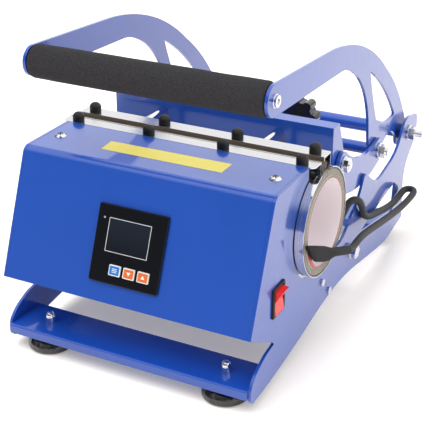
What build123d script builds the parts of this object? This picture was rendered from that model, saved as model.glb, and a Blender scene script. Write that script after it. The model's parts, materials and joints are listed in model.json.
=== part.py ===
"""Tumbler heat press: sheet metal frame, split heating mat, toggle linkage and handle.

Millimetres. +X is the operator's right, +Y is the back, +Z is up. The origin is on the floor at the
middle of the press. Side profiles are drawn as (distance back from the front edge, height).
"""
from build123d import *
import os
from math import acos, atan2, cos, degrees, radians, sin, sqrt, tan

# Frame
DEPTH = 454.2             # front tray to the uprights' back edge
FRONT_Y = -DEPTH / 2
PLATE_IN = 127.0          # inner face of the side plates
PLATE_T = 3.0
PLATE_OUT = PLATE_IN + PLATE_T
SHEET = 1.5               # housing sheet
TRAY_SHEET = 2.0
TRAY_TOP = 25.0
TRAY_DEPTH = 47.7
TRAY_LIP = 9.4
FRONT_TRAY_Y = 0.0
REAR_TRAY_Y = 367.0
FOOT_X = 95.6
FOOT_BACK = 22.4          # foot axis behind its tray's front edge
FOOT_R = 22.5

# Control housing
SKIRT = (0.0, 77.6)       # lower edge of the sloping front
BEND = (47.1, 194.5)      # bend between the front and the top
BEND_R = 9.0
TOP_REAR = (119.7, 194.5)
NOTCH = (47.9, 50.5)
COVER_WALL = 89.1         # rear face of the housing's back wall

# Controller, in its own face: x across, y up the slope
BEZEL = 72.0
BEZEL_T = 3.0
BEZEL_X = -1.0
BEZEL_DOWN = 71.7         # centre of the bezel, down the slope from the bend
WINDOW = (44.5, 31.6)
WINDOW_AT = (-1.5, 8.8)
BUTTON = (12.0, 10.0)
BUTTON_Y = -22.5
BUTTON_X = {"set_button": -9.5, "down_button": 5.25, "up_button": 20.0}
BUTTON_TRAVEL = 0.8

# Rocker switch and power inlet, in the side plates
SWITCH_AT = (56.0, 91.5)
SWITCH = (25.7, 30.3)
ROCKER = (18.6, 22.8)
ROCKER_TILT = 11.0
ROCKER_TIP = 9.0          # the rocker's ends, out from its pivot

# Heating mat
BORE = (142.0, 132.5)     # axis of the bore
BORE_R = 42.3
LINER_R = 45.0
MAT_R = 51.3
SHELL_R = 51.5
SHELL_T = 1.2
BAND_T = 0.8
MAT_X = 139.5             # the mat stands out of both side plates
SPLIT = 0.6               # gap between the two halves
SLOT = 12.0               # gap above the mat, between the two steel lips
LIP_Z = 194.5
FLAP_X = 136.0
LIP_X = {"front": 135.2, "rear": 133.2}
LIP_FRONT = 120.1
LIP_REAR = 165.0
CUTOUT = (142.8, 131.3)   # round opening for the mat in the side plates
CUTOUT_R = 55.2

# Pressure channel, rods and knobs
CHANNEL_X = 121.7
CHANNEL_Y = 200.0
CHANNEL_Z = (110.0, 202.8)
CHANNEL_T = 3.0
CHANNEL_BACK = CHANNEL_Y + 16.0
ROD_X = 65.0
ROD_Z = 189.8
ROD_R = 4.5
ROD_STUD_R = 2.0          # the rods' thinner ends, bolted through the rear lip's fold
KNOB_Y = 245.0
KNOB_DEPTH = 25.0
CAP_X = (-120.3, -40.0, 40.0, 120.3)
CAP_ROW = {"front": 126.4, "rear": 157.6}
CAP_R = 5.8
CAP_H = 9.2
CAP_STUD_H = 6.2

# Toggle linkage
PIVOT = (421.2, 123.1)    # arms in the uprights
KNEE = (327.6, 134.5)     # arms and links
TOE = (220.0, 158.8)      # links and pressure channel
GRIP = (57.8, 276.6)
ARM_X = (118.5, 121.5)
LINK_X = (122.4, 126.4)
BOLT_R = 4.0
GRIP_R = 16.0
GRIP_TUBE_R = 11.0
TIE = (246.7, 51.7)
BRACE_SCREWS = ((165.2, 54.2), (184.7, 35.9))

# Heater cord
CORD_R = 3.7
GROMMET = (105.0, 66.0)   # x and height

# Fits
RUNNING = 0.08            # radial, a pin in its bearing hole
LOOSE = 0.2               # radial, a bolt in a clamped hole
GAP = 0.3                 # between moving neighbours

os.makedirs("parts", exist_ok=True)


def save(piece, name):
    """Label a finished piece and write it out."""
    piece.part.label = name
    export_step(piece.part, f"parts/{name}.step")


def side(x):
    """The upright plane across X: its x runs back from the front edge, its y runs up."""
    return Plane(origin=(x, FRONT_Y, 0), x_dir=(0, 1, 0), z_dir=(1, 0, 0))


def facing_front(x, y, z=0):
    """The upright plane through a point, facing the front: its x is +X and its y is +Z."""
    return Plane(origin=(x, FRONT_Y + y, z), x_dir=(1, 0, 0), z_dir=(0, -1, 0))


def facing_back(x, y, z=0):
    """The upright plane through a point, facing the back: its x is +X and its y is -Z."""
    return Plane(origin=(x, FRONT_Y + y, z), x_dir=(1, 0, 0), z_dir=(0, 1, 0))


def up_axis(x, y):
    return Axis((x, FRONT_Y + y, 0), (0, 0, 1))


def dome(radius, base, height):
    """Half of a dome's outline, from its rim up to its top on the axis."""
    ball = (radius ** 2 + height ** 2) / (2 * height)
    middle = atan2(radius, ball - height) / 2
    return ThreePointArc((radius, base), (ball * sin(middle), base + height - ball + ball * cos(middle)),
                         (0, base + height))


def toward(a, b, distance):
    """The point at a distance from a towards b."""
    length = sqrt((b[0] - a[0]) ** 2 + (b[1] - a[1]) ** 2)
    return (a[0] + (b[0] - a[0]) * distance / length, a[1] + (b[1] - a[1]) * distance / length)


def on_circle(centre, radius, angle):
    """The point of a circle at an angle in degrees, from the back, upwards."""
    return (centre[0] + radius * cos(radians(angle)), centre[1] + radius * sin(radians(angle)))


# Side plates: one flat plate each, from the housing's slope to the upright that carries the pivot
HANDS = {"left": -1, "right": 1}
CUTOUT_START = degrees(acos((TOP_REAR[0] - CUTOUT[0]) / CUTOUT_R))
for hand, sign in HANDS.items():
    with BuildPart() as side_plate:
        with BuildSketch(side(sign * PLATE_IN)):
            with BuildLine():
                Polyline(NOTCH, SKIRT, BEND, TOP_REAR, on_circle(CUTOUT, CUTOUT_R, CUTOUT_START))
                ThreePointArc(on_circle(CUTOUT, CUTOUT_R, CUTOUT_START), on_circle(CUTOUT, CUTOUT_R, 190),
                              on_circle(CUTOUT, CUTOUT_R, 270))
                Line(on_circle(CUTOUT, CUTOUT_R, 270), (214.0, 77.0))
                Spline((214.0, 77.0), (238.3, 90.0), (261.0, 104.0), (274.0, 121.0),
                       tangents=((1, 0.1), (0.55, 1)))
                ThreePointArc((274.0, 121.0), (279.6, 125.2), (286.5, 122.2))
                Spline((286.5, 122.2), (300.0, 113.0), (321.0, 103.6), (350.0, 105.9),
                       (378.0, 112.5), (398.3, 131.0), tangents=((1, -0.55), (0.6, 1)))
                Spline((398.3, 131.0), (418.0, 142.6), (441.0, 138.4), (454.2, 121.0),
                       tangents=((0.6, 1), (0, -1)))
                Spline((454.2, 121.0), (443.0, 101.0), (421.5, 83.5), (416.7, 50.0), (421.5, 16.6),
                       tangents=((0, -1), (0.16, -1)))
                Line((421.5, 16.6), (363.4, 10.2))
                Spline((363.4, 10.2), (298.1, 19.8), (225.0, 29.8), (172.0, 28.0), (121.8, 20.5),
                       (70.0, 13.4), (12.0, 9.6), tangents=((-1, 0.1), (-1, -0.02)))
                ThreePointArc((12.0, 9.6), (4.4, 11.6), (2.4, 17.5))
                Line((2.4, 17.5), (2.6, 22.5))
                Spline((2.6, 22.5), (6.2, 30.0), (14.5, 37.0), (27.0, 42.6), (41.0, 46.0),
                       tangents=((0.1, 1), (1, 0.14)))
                Polyline((41.0, 46.0), (50.6, 47.2), NOTCH)
            make_face()
            with BuildLine(mode=Mode.PRIVATE) as wedge:
                Line((269.0, 61.0), (378.0, 41.0))
                ThreePointArc((378.0, 41.0), (382.6, 42.6), (383.8, 47.0))
                Line((383.8, 47.0), (386.2, 70.6))
                ThreePointArc((386.2, 70.6), (384.6, 74.6), (380.4, 75.4))
                ThreePointArc((380.4, 75.4), (330.0, 70.6), (269.0, 61.0))
            make_face(wedge.edges(), mode=Mode.SUBTRACT)
            with Locations(PIVOT):
                Circle(BOLT_R + RUNNING, mode=Mode.SUBTRACT)
            with Locations(TIE):
                Circle(BOLT_R + LOOSE, mode=Mode.SUBTRACT)
            with Locations(*BRACE_SCREWS):
                Circle(2.0 + LOOSE, mode=Mode.SUBTRACT)
            with Locations(SWITCH_AT):
                Rectangle(SWITCH[0] - 3.4, SWITCH[1] - 3.0, mode=Mode.SUBTRACT)
        extrude(amount=sign * PLATE_T)
        fillet(side_plate.edges().filter_by(Axis.X).filter_by_position(
            Axis.Y, FRONT_Y + 421.4, FRONT_Y + 421.6), 4.0)
        fillet(side_plate.edges().filter_by(Axis.X).filter_by_position(
            Axis.Y, FRONT_Y + BEND[0] - 0.1, FRONT_Y + BEND[0] + 0.1).group_by(Axis.Z)[-1], BEND_R)
    save(side_plate, f"{hand}_side_plate")

# Base trays: upside-down channels between the side plates
for name, front in (("front_tray", FRONT_TRAY_Y), ("rear_tray", REAR_TRAY_Y)):
    with BuildPart() as tray:
        with BuildSketch(side(-PLATE_IN)):
            with BuildLine():
                profile = Polyline((front, TRAY_TOP - TRAY_LIP), (front, TRAY_TOP),
                                   (front + TRAY_DEPTH, TRAY_TOP),
                                   (front + TRAY_DEPTH, TRAY_TOP - TRAY_LIP))
                offset(amount=-TRAY_SHEET, side=Side.RIGHT)
            make_face()
        extrude(amount=2 * PLATE_IN)
        bends = tray.edges().filter_by(Axis.X).filter_by_position(Axis.Z, TRAY_TOP - 0.1, TRAY_TOP + 0.1)
        fillet(bends, TRAY_SHEET)
        with BuildSketch(Plane.XY.offset(TRAY_TOP)):
            with Locations((-FOOT_X, FRONT_Y + front + FOOT_BACK), (FOOT_X, FRONT_Y + front + FOOT_BACK)):
                Circle(3.0 + LOOSE)
        extrude(amount=-TRAY_SHEET, mode=Mode.SUBTRACT)
    save(tray, name)

FEET = [(sign * FOOT_X, front + FOOT_BACK) for front in (FRONT_TRAY_Y, REAR_TRAY_Y) for sign in (-1, 1)]
FOOT_TOP = TRAY_TOP - TRAY_SHEET
with BuildPart() as feet:
    for x, y in FEET:
        with BuildSketch(facing_front(x, y)):
            with BuildLine():
                Polyline((3.0 + LOOSE, 1.5), (14.0, 1.5), (17.0, 0.0), (21.0, 0.0), (FOOT_R, 1.5),
                         (FOOT_R, 6.0))
                ThreePointArc((FOOT_R, 6.0), (19.6, 10.6), (14.0, 13.0))
                Polyline((14.0, 13.0), (12.5, 16.0), (12.5, FOOT_TOP), (3.0 + LOOSE, FOOT_TOP),
                         (3.0 + LOOSE, 1.5))
            make_face()
        revolve(axis=up_axis(x, y))
save(feet, "rubber_feet")

with BuildPart() as foot_fixings:
    for x, y in FEET:
        with BuildSketch(facing_front(x, y)):
            Polygon((0, 3.0), (3.0, 3.0), (3.0, 31.0), (2.2, 32.0), (0, 32.0), align=None)
        revolve(axis=up_axis(x, y))
    for x, y in FEET:
        with BuildSketch(facing_front(x, y, TRAY_TOP)):
            with BuildLine():
                Polyline((3.1, 0), (4.8, 0), (4.8, 5.6), (4.3, 6.4))
                dome(4.3, 6.4, 4.6)
                Polyline((0, 11.0), (0, 7.3), (3.1, 7.3), (3.1, 0))
            make_face()
        revolve(axis=up_axis(x, y))
save(foot_fixings, "foot_studs_and_dome_nuts")

# Control housing: the front and top are one bent sheet
SLOPE = degrees(atan2(BEND[1] - SKIRT[1], BEND[0] - SKIRT[0]))
down = toward(BEND, SKIRT, BEZEL_DOWN)
face_normal = (0, -sin(radians(SLOPE)), cos(radians(SLOPE)))
panel = Plane(origin=(BEZEL_X, FRONT_Y + down[0], down[1]), x_dir=(1, 0, 0), z_dir=face_normal)
HOUSING_X = PLATE_IN - 0.1
TOP_SCREWS = [(sign * 112.9, 83.4) for sign in (-1, 1)]

with BuildPart() as front_housing:
    with BuildSketch(side(-HOUSING_X)):
        with BuildLine():
            FilletPolyline(SKIRT, BEND, TOP_REAR, radius=BEND_R)
            offset(amount=-SHEET, side=Side.RIGHT)
        make_face()
    extrude(amount=2 * HOUSING_X)
    with BuildSketch(panel):
        Rectangle(66.6, 66.6)
    extrude(amount=-2 * SHEET, mode=Mode.SUBTRACT)
    with BuildSketch(Plane.XY.offset(TOP_REAR[1])):
        with Locations(*[(x, FRONT_Y + y) for x, y in TOP_SCREWS]):
            Circle(2.0 + LOOSE)
    extrude(amount=-SHEET, mode=Mode.SUBTRACT)
save(front_housing, "front_housing")

with BuildPart() as back_cover:
    with BuildSketch(side(-HOUSING_X)):
        with BuildLine():
            Polyline((4.0, 75.6), (NOTCH[0] + 0.6, NOTCH[1]), (COVER_WALL, NOTCH[1]),
                     (COVER_WALL, TOP_REAR[1] - SHEET - 0.2))
            offset(amount=SHEET, side=Side.LEFT)
        make_face()
    extrude(amount=2 * HOUSING_X)
    with BuildSketch(facing_back(GROMMET[0], COVER_WALL, GROMMET[1])):
        Circle(5.2)
    extrude(amount=-SHEET, mode=Mode.SUBTRACT)
save(back_cover, "housing_back_cover")

with BuildPart() as brackets:
    for sign in (-1, 1):
        with BuildSketch(facing_front(sign * HOUSING_X, 70.0, TOP_REAR[1] - SHEET)):
            with BuildLine():
                Polyline((-sign * 24.0, 0), (0, 0), (0, -20.0), (-sign * SHEET, -20.0),
                         (-sign * SHEET, -SHEET), (-sign * 24.0, -SHEET), (-sign * 24.0, 0))
            make_face()
        extrude(amount=-COVER_WALL + SHEET + 70.0 + GAP)
    with BuildSketch(Plane.XY.offset(TOP_REAR[1])):
        with Locations(*[(x, FRONT_Y + y) for x, y in TOP_SCREWS]):
            Circle(2.1)
    extrude(amount=-4 * SHEET, mode=Mode.SUBTRACT)
save(brackets, "housing_brackets")

# Temperature and time controller
with BuildPart() as bezel:
    with BuildSketch(panel):
        RectangleRounded(BEZEL, BEZEL, 2.0)
    extrude(amount=BEZEL_T)
    chamfer(bezel.faces().sort_by(Axis.Y)[0].edges(), 0.8)
    with BuildSketch(panel):
        with Locations(WINDOW_AT):
            Rectangle(WINDOW[0] + 0.2, WINDOW[1] + 0.2)
        with Locations(*[(x, BUTTON_Y) for x in BUTTON_X.values()]):
            Rectangle(BUTTON[0] + 2 * GAP, BUTTON[1] + 2 * GAP)
    extrude(amount=BEZEL_T, mode=Mode.SUBTRACT)
save(bezel, "controller_bezel")

with BuildPart() as window:
    with BuildSketch(panel.offset(BEZEL_T - 1.7)):
        with Locations(WINDOW_AT):
            Rectangle(*WINDOW)
    extrude(amount=1.5)
save(window, "display_window")

CASE_DEPTH = 34.0
BOARD_DEEP = 9.0
with BuildPart() as case:
    with BuildSketch(panel):
        Rectangle(66.0, 66.0)
    extrude(amount=-CASE_DEPTH)
    with BuildSketch(panel):
        Rectangle(62.8, 62.8)
    extrude(amount=-CASE_DEPTH + 1.6, mode=Mode.SUBTRACT)
save(case, "controller_case")

with BuildPart() as board:
    with BuildSketch(panel.offset(-BOARD_DEEP)):
        Rectangle(62.6, 62.6)
    extrude(amount=-1.6)
    with BuildSketch(panel.offset(-BOARD_DEEP)):
        with Locations(*[(x, BUTTON_Y) for x in BUTTON_X.values()]):
            Rectangle(6.0, 6.0)
    extrude(amount=3.6)
    with BuildSketch(panel.offset(-BOARD_DEEP - 1.6)):
        with Locations((-16.0, 14.0)):
            Rectangle(19.0, 15.5)
        with Locations((18.0, -20.0)):
            Rectangle(24.0, 8.0)
        with Locations((16.0, 12.0)):
            Rectangle(26.0, 22.0)
    extrude(amount=-14.0)
save(board, "control_board")

with BuildPart() as display:
    with BuildSketch(panel.offset(-BOARD_DEEP)):
        with Locations(WINDOW_AT):
            Rectangle(WINDOW[0] - 0.6, WINDOW[1] - 0.6)
    extrude(amount=BOARD_DEEP + BEZEL_T - 1.7)
save(display, "display_module")

for name, x in BUTTON_X.items():
    with BuildPart() as button:
        with BuildSketch(panel.offset(-4.4)):
            with Locations((x, BUTTON_Y)):
                RectangleRounded(*BUTTON, 1.0)
        extrude(amount=4.4 + BEZEL_T + 0.9)
        fillet(button.faces().sort_by(Axis.Y)[0].edges(), 0.5)
    save(button, name)

# Rocker switch in the right plate
ROCKER_AXIS_X = PLATE_OUT - 4.0
ROCKER_PIN_R = 1.2
with BuildPart() as rocker_bezel:
    with BuildSketch(side(PLATE_OUT)):
        with Locations(SWITCH_AT):
            RectangleRounded(*SWITCH, 2.0)
    extrude(amount=2.0)
    chamfer(rocker_bezel.faces().sort_by(Axis.X)[-1].edges(), 0.8)
    with BuildSketch(side(PLATE_OUT)):
        with Locations(SWITCH_AT):
            Rectangle(SWITCH[0] - 3.8, SWITCH[1] - 3.4)
    extrude(amount=-22.0)
    with BuildSketch(side(PLATE_OUT + 2.0)):
        with Locations(SWITCH_AT):
            Rectangle(ROCKER[0] + 2 * GAP, ROCKER[1] + 3.4)
    extrude(amount=-14.0, mode=Mode.SUBTRACT)
    with BuildSketch(Plane(origin=(ROCKER_AXIS_X, FRONT_Y + SWITCH_AT[0], SWITCH_AT[1]), x_dir=(1, 0, 0),
                           z_dir=(0, 1, 0))):
        Circle(ROCKER_PIN_R)
    extrude(amount=ROCKER[0] / 2 + 1.0, both=True)
    for z in (-8.5, 8.5):
        with BuildSketch(side(PLATE_OUT - 22.0)):
            with Locations((SWITCH_AT[0], SWITCH_AT[1] + z)):
                Rectangle(6.3, 0.8)
        extrude(amount=-8.0)
save(rocker_bezel, "rocker_switch_body")

rocker_plane = Plane(origin=(ROCKER_AXIS_X, FRONT_Y + SWITCH_AT[0], SWITCH_AT[1]),
                     x_dir=(1, 0, 0), z_dir=(0, 1, 0))
with BuildPart() as rocker:
    with BuildSketch(rocker_plane):
        Polygon((-3.2, -ROCKER[1] / 2), (ROCKER_TIP, -ROCKER[1] / 2), (5.2, 0), (ROCKER_TIP, ROCKER[1] / 2),
                (-3.2, ROCKER[1] / 2), rotation=ROCKER_TILT, align=None)
    extrude(amount=ROCKER[0] / 2, both=True)
    with BuildSketch(rocker_plane):
        Circle(ROCKER_PIN_R + RUNNING)
    extrude(amount=ROCKER[0] / 2, both=True, mode=Mode.SUBTRACT)
save(rocker, "rocker")

# Power inlet in the left plate
INLET_SOCKET = (16.6, 24.3)
with BuildPart() as inlet:
    with BuildSketch(side(-PLATE_OUT)):
        with Locations(SWITCH_AT):
            RectangleRounded(*SWITCH, 2.0)
    extrude(amount=-2.5)
    with BuildSketch(side(-PLATE_OUT)):
        with Locations(SWITCH_AT):
            Rectangle(SWITCH[0] - 3.8, SWITCH[1] - 3.4)
    extrude(amount=20.0)
    with BuildSketch(side(-PLATE_OUT - 2.5)):
        with Locations(SWITCH_AT):
            RectangleRounded(*INLET_SOCKET, 3.0)
    extrude(amount=17.0, mode=Mode.SUBTRACT)
    with BuildSketch(side(-PLATE_OUT + 14.5)):
        for pin in ((2.0, 0.0), (-2.0, -7.0), (-2.0, 7.0)):
            with Locations((SWITCH_AT[0] + pin[0], SWITCH_AT[1] + pin[1])):
                Rectangle(2.0, 4.0)
    extrude(amount=-13.0)
save(inlet, "power_inlet")

# Tie tube and brace between the side plates
with BuildPart() as tie_tube:
    with BuildSketch(side(-PLATE_IN)):
        with Locations(TIE):
            Circle(8.0)
            Circle(BOLT_R, mode=Mode.SUBTRACT)
    extrude(amount=2 * PLATE_IN)
save(tie_tube, "tie_tube")

with BuildPart() as tie_bolts:
    for sign in (-1, 1):
        with BuildSketch(side(sign * PLATE_OUT)):
            with Locations(TIE):
                Circle(8.5)
        extrude(amount=sign * 1.6)
        with BuildSketch(side(sign * (PLATE_OUT + 1.6))):
            with Locations(TIE):
                RegularPolygon(6.5, 6, major_radius=False)
        extrude(amount=sign * 5.5)
        with BuildSketch(side(sign * PLATE_OUT)):
            with Locations(TIE):
                Circle(BOLT_R - 0.05)
        extrude(amount=-sign * 20.0)
save(tie_bolts, "tie_bolts")

brace_mid = ((BRACE_SCREWS[0][0] + BRACE_SCREWS[1][0]) / 2, (BRACE_SCREWS[0][1] + BRACE_SCREWS[1][1]) / 2)
brace_turn = degrees(atan2(BRACE_SCREWS[1][1] - BRACE_SCREWS[0][1],
                     BRACE_SCREWS[1][0] - BRACE_SCREWS[0][0]))
with BuildPart() as brace:
    with BuildSketch(side(-PLATE_IN)):
        with Locations(Location(brace_mid, brace_turn)):
            Rectangle(38.0, 12.0)
    extrude(amount=2 * PLATE_IN)
    with BuildSketch(side(-PLATE_IN + 1.5)):
        with Locations(Location(toward(brace_mid, (brace_mid[0] + 10, brace_mid[1] + 10), 1.5),
                       brace_turn)):
            Rectangle(39.0, 12.0)
    extrude(amount=2 * PLATE_IN - 3.0, mode=Mode.SUBTRACT)
    with BuildSketch(side(-PLATE_IN)):
        with Locations(*BRACE_SCREWS):
            Circle(2.0)
    extrude(amount=2 * PLATE_IN, mode=Mode.SUBTRACT)
save(brace, "cross_brace")

SCREW_HEAD_R = 6.0
with BuildPart() as panel_screws:
    for x, y in TOP_SCREWS:
        with BuildSketch(facing_front(x, y, TOP_REAR[1])):
            with BuildLine():
                Polyline((0, 1.6), (0, -7.0), (2.0, -7.0), (2.0, 0), (SCREW_HEAD_R, 0))
                dome(SCREW_HEAD_R, 0, 2.8)
                Line((0, 2.8), (0, 1.6))
            make_face()
        revolve(axis=up_axis(x, y))
    for sign in (-1, 1):
        for y, z in BRACE_SCREWS:
            with BuildSketch(side(sign * PLATE_OUT)):
                with Locations((y, z)):
                    Circle(3.8)
            extrude(amount=sign * 2.2)
            with BuildSketch(side(sign * PLATE_OUT)):
                with Locations((y, z)):
                    Circle(1.95)
            extrude(amount=-sign * 7.0)
save(panel_screws, "panel_screws")


def half_ring(inner, outer, part, top_edge, bottom_edge):
    """Half of a ring round the bore: part is -1 for the front half and 1 for the rear half."""
    with BuildSketch(mode=Mode.PRIVATE) as ring:
        with Locations(BORE):
            Circle(outer)
            Circle(inner, mode=Mode.SUBTRACT)
        for edge, z in ((top_edge, BORE[1] + outer / 2), (bottom_edge, BORE[1] - outer / 2)):
            with Locations((BORE[0] + part * (edge - outer), z)):
                Rectangle(2 * outer, outer, mode=Mode.SUBTRACT)
    return ring.sketch


# The two halves of the heating mat, each with its steel shell, flap, end bands and capped studs
STUD_R = 2.5
HALVES = {"front": -1, "rear": 1}
LIP_BACK = {"front": LIP_FRONT, "rear": LIP_REAR}
for half, part in HALVES.items():
    neck = BORE[0] + part * SLOT / 2
    far = LIP_BACK[half]
    row_y = CAP_ROW[half]
    lip_x = LIP_X[half]

    with BuildPart() as shell:
        with BuildSketch(side(-MAT_X)):
            add(half_ring(SHELL_R, SHELL_R + SHELL_T, part, SLOT / 2, SPLIT / 2))
        extrude(amount=2 * MAT_X)
        with BuildSketch(side(-lip_x)):
            with Locations((neck + part * SHELL_T / 2, (BORE[1] + SHELL_R + LIP_Z) / 2)):
                Rectangle(SHELL_T, LIP_Z - BORE[1] - SHELL_R + 0.6)
            with Locations(((neck + far) / 2, LIP_Z - SHELL_T / 2)):
                Rectangle(abs(far - neck), SHELL_T)
            if half == "rear":
                with Locations((far - SHELL_T / 2, LIP_Z - 6.5)):
                    Rectangle(SHELL_T, 13.0)
        extrude(amount=2 * lip_x)
        with BuildSketch(Plane.XY.offset(LIP_Z)):
            with Locations(*[(x, FRONT_Y + row_y) for x in CAP_X]):
                Circle(STUD_R + 0.1)
        extrude(amount=-SHELL_T, mode=Mode.SUBTRACT)
        if half == "rear":
            for x in (-ROD_X, ROD_X):
                with BuildSketch(facing_back(x, far, ROD_Z)):
                    Circle(ROD_STUD_R + LOOSE)
                extrude(amount=-SHELL_T, mode=Mode.SUBTRACT)
        ends = shell.edges().filter_by(Axis.Z).filter_by(lambda e: abs(e.center().X) > lip_x - 0.01
                                                         and abs(e.center().Y - FRONT_Y - far) < 0.1)
        fillet(ends.group_by(Axis.Z)[-1], 5.0 if half == "front" else 0.8)
    save(shell, f"{half}_mat_shell")

    with BuildPart() as insulation:
        with BuildSketch(side(-MAT_X + 0.3)):
            add(half_ring(LINER_R, MAT_R, part, SPLIT / 2, SPLIT / 2))
        extrude(amount=2 * MAT_X - 0.6)
    save(insulation, f"{half}_mat_insulation")

    with BuildPart() as liner:
        with BuildSketch(side(-MAT_X)):
            add(half_ring(BORE_R, LINER_R, part, SPLIT / 2, SPLIT / 2))
        extrude(amount=2 * MAT_X)
    save(liner, f"{half}_mat_liner")

    with BuildPart() as flap:
        with BuildSketch(side(-FLAP_X)):
            with Locations((BORE[0] + part * (SLOT / 2 - 0.2 + SPLIT / 2) / 2, 187.6)):
                Rectangle(SLOT / 2 - 0.2 - SPLIT / 2, 7.2)
        extrude(amount=2 * FLAP_X)
    save(flap, f"{half}_mat_flap")

    with BuildPart() as bands:
        for sign in (-1, 1):
            for start in (PLATE_OUT + 0.7, PLATE_OUT + 5.2):
                with BuildSketch(side(sign * start)):
                    add(half_ring(SHELL_R + SHELL_T, SHELL_R + SHELL_T + BAND_T, part, 14.0, SPLIT / 2))
                extrude(amount=sign * 4.2)
    save(bands, f"{half}_end_bands")

    with BuildPart() as cap_studs:
        for x in CAP_X:
            with BuildSketch(facing_front(x, row_y)):
                Polygon((0, LIP_Z - 4.2), (4.4, LIP_Z - 4.2), (4.4, LIP_Z - SHELL_T),
                        (STUD_R, LIP_Z - SHELL_T),
                        (STUD_R, LIP_Z + CAP_STUD_H), (0, LIP_Z + CAP_STUD_H), align=None)
            revolve(axis=up_axis(x, row_y))
    save(cap_studs, f"{half}_cap_studs")

    with BuildPart() as caps:
        for x in CAP_X:
            with BuildSketch(facing_front(x, row_y)):
                with BuildLine():
                    Polyline((0, LIP_Z + CAP_STUD_H + 0.1),
                             (STUD_R + 0.05, LIP_Z + CAP_STUD_H + 0.1), (STUD_R + 0.05, LIP_Z),
                             (CAP_R, LIP_Z), (CAP_R, LIP_Z + CAP_H - 4.0))
                    dome(CAP_R, LIP_Z + CAP_H - 4.0, 4.0)
                    Line((0, LIP_Z + CAP_H), (0, LIP_Z + CAP_STUD_H + 0.1))
                make_face()
            revolve(axis=up_axis(x, row_y))
    save(caps, f"{half}_rubber_caps")

# Pressure channel: a bent beam whose end flanges carry the links
with BuildPart() as channel:
    low, high = CHANNEL_Z
    with BuildSketch(side(-CHANNEL_X)):
        with BuildLine():
            Polyline((CHANNEL_BACK, high), (CHANNEL_Y, high), (CHANNEL_Y, low), (CHANNEL_BACK, low))
            offset(amount=CHANNEL_T, side=Side.LEFT)
        make_face()
    extrude(amount=2 * CHANNEL_X)
    for sign in (-1, 1):
        with BuildSketch(side(sign * CHANNEL_X)):
            with BuildLine():
                Polyline(on_circle(TOE, 14.0, -30), (CHANNEL_BACK, low), (CHANNEL_Y, low),
                         (CHANNEL_Y, high), (CHANNEL_BACK, high), on_circle(TOE, 14.0, 30))
                ThreePointArc(on_circle(TOE, 14.0, 30), on_circle(TOE, 14.0, 0), on_circle(TOE, 14.0, -30))
            make_face()
            with Locations(TOE):
                Circle(BOLT_R + LOOSE, mode=Mode.SUBTRACT)
        extrude(amount=-sign * CHANNEL_T)
    for x in (-ROD_X, ROD_X):
        with BuildSketch(facing_back(x, CHANNEL_Y, ROD_Z)):
            Circle(ROD_R + RUNNING)
        extrude(amount=CHANNEL_T, mode=Mode.SUBTRACT)
save(channel, "pressure_channel")

with BuildPart() as rods:
    for x in (-ROD_X, ROD_X):
        with BuildSketch(facing_back(x, LIP_REAR, ROD_Z)):
            Circle(ROD_R)
        extrude(amount=KNOB_Y + KNOB_DEPTH - 2.0 - LIP_REAR)
        with BuildSketch(facing_back(x, LIP_REAR, ROD_Z)):
            Circle(ROD_STUD_R)
        extrude(amount=-8.0)
        with BuildSketch(facing_back(x, LIP_REAR - SHELL_T, ROD_Z)):
            RegularPolygon(3.3, 6, major_radius=False)
            Circle(ROD_STUD_R + 0.05, mode=Mode.SUBTRACT)
        extrude(amount=-3.2)
save(rods, "guide_rods_and_nuts")

with BuildPart() as sleeves:
    for x in (-ROD_X, ROD_X):
        with BuildSketch(facing_back(x, CHANNEL_Y + CHANNEL_T, ROD_Z)):
            Circle(7.0)
            Circle(ROD_R + LOOSE, mode=Mode.SUBTRACT)
        extrude(amount=KNOB_Y - GAP - CHANNEL_Y - CHANNEL_T)
save(sleeves, "rod_sleeves")

LOBES = 7
for hand, sign in HANDS.items():
    knob_face = facing_back(sign * ROD_X, KNOB_Y, ROD_Z)
    with BuildPart() as knob:
        with BuildSketch(knob_face):
            Circle(15.5)
            with PolarLocations(15.2, LOBES):
                Circle(4.8)
        extrude(amount=15.0)
        with BuildSketch(knob_face):
            Circle(9.5)
        extrude(amount=KNOB_DEPTH)
        with BuildSketch(knob_face):
            Circle(ROD_R + RUNNING)
        extrude(amount=KNOB_DEPTH, mode=Mode.SUBTRACT)
    save(knob, f"{hand}_pressure_knob")

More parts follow.
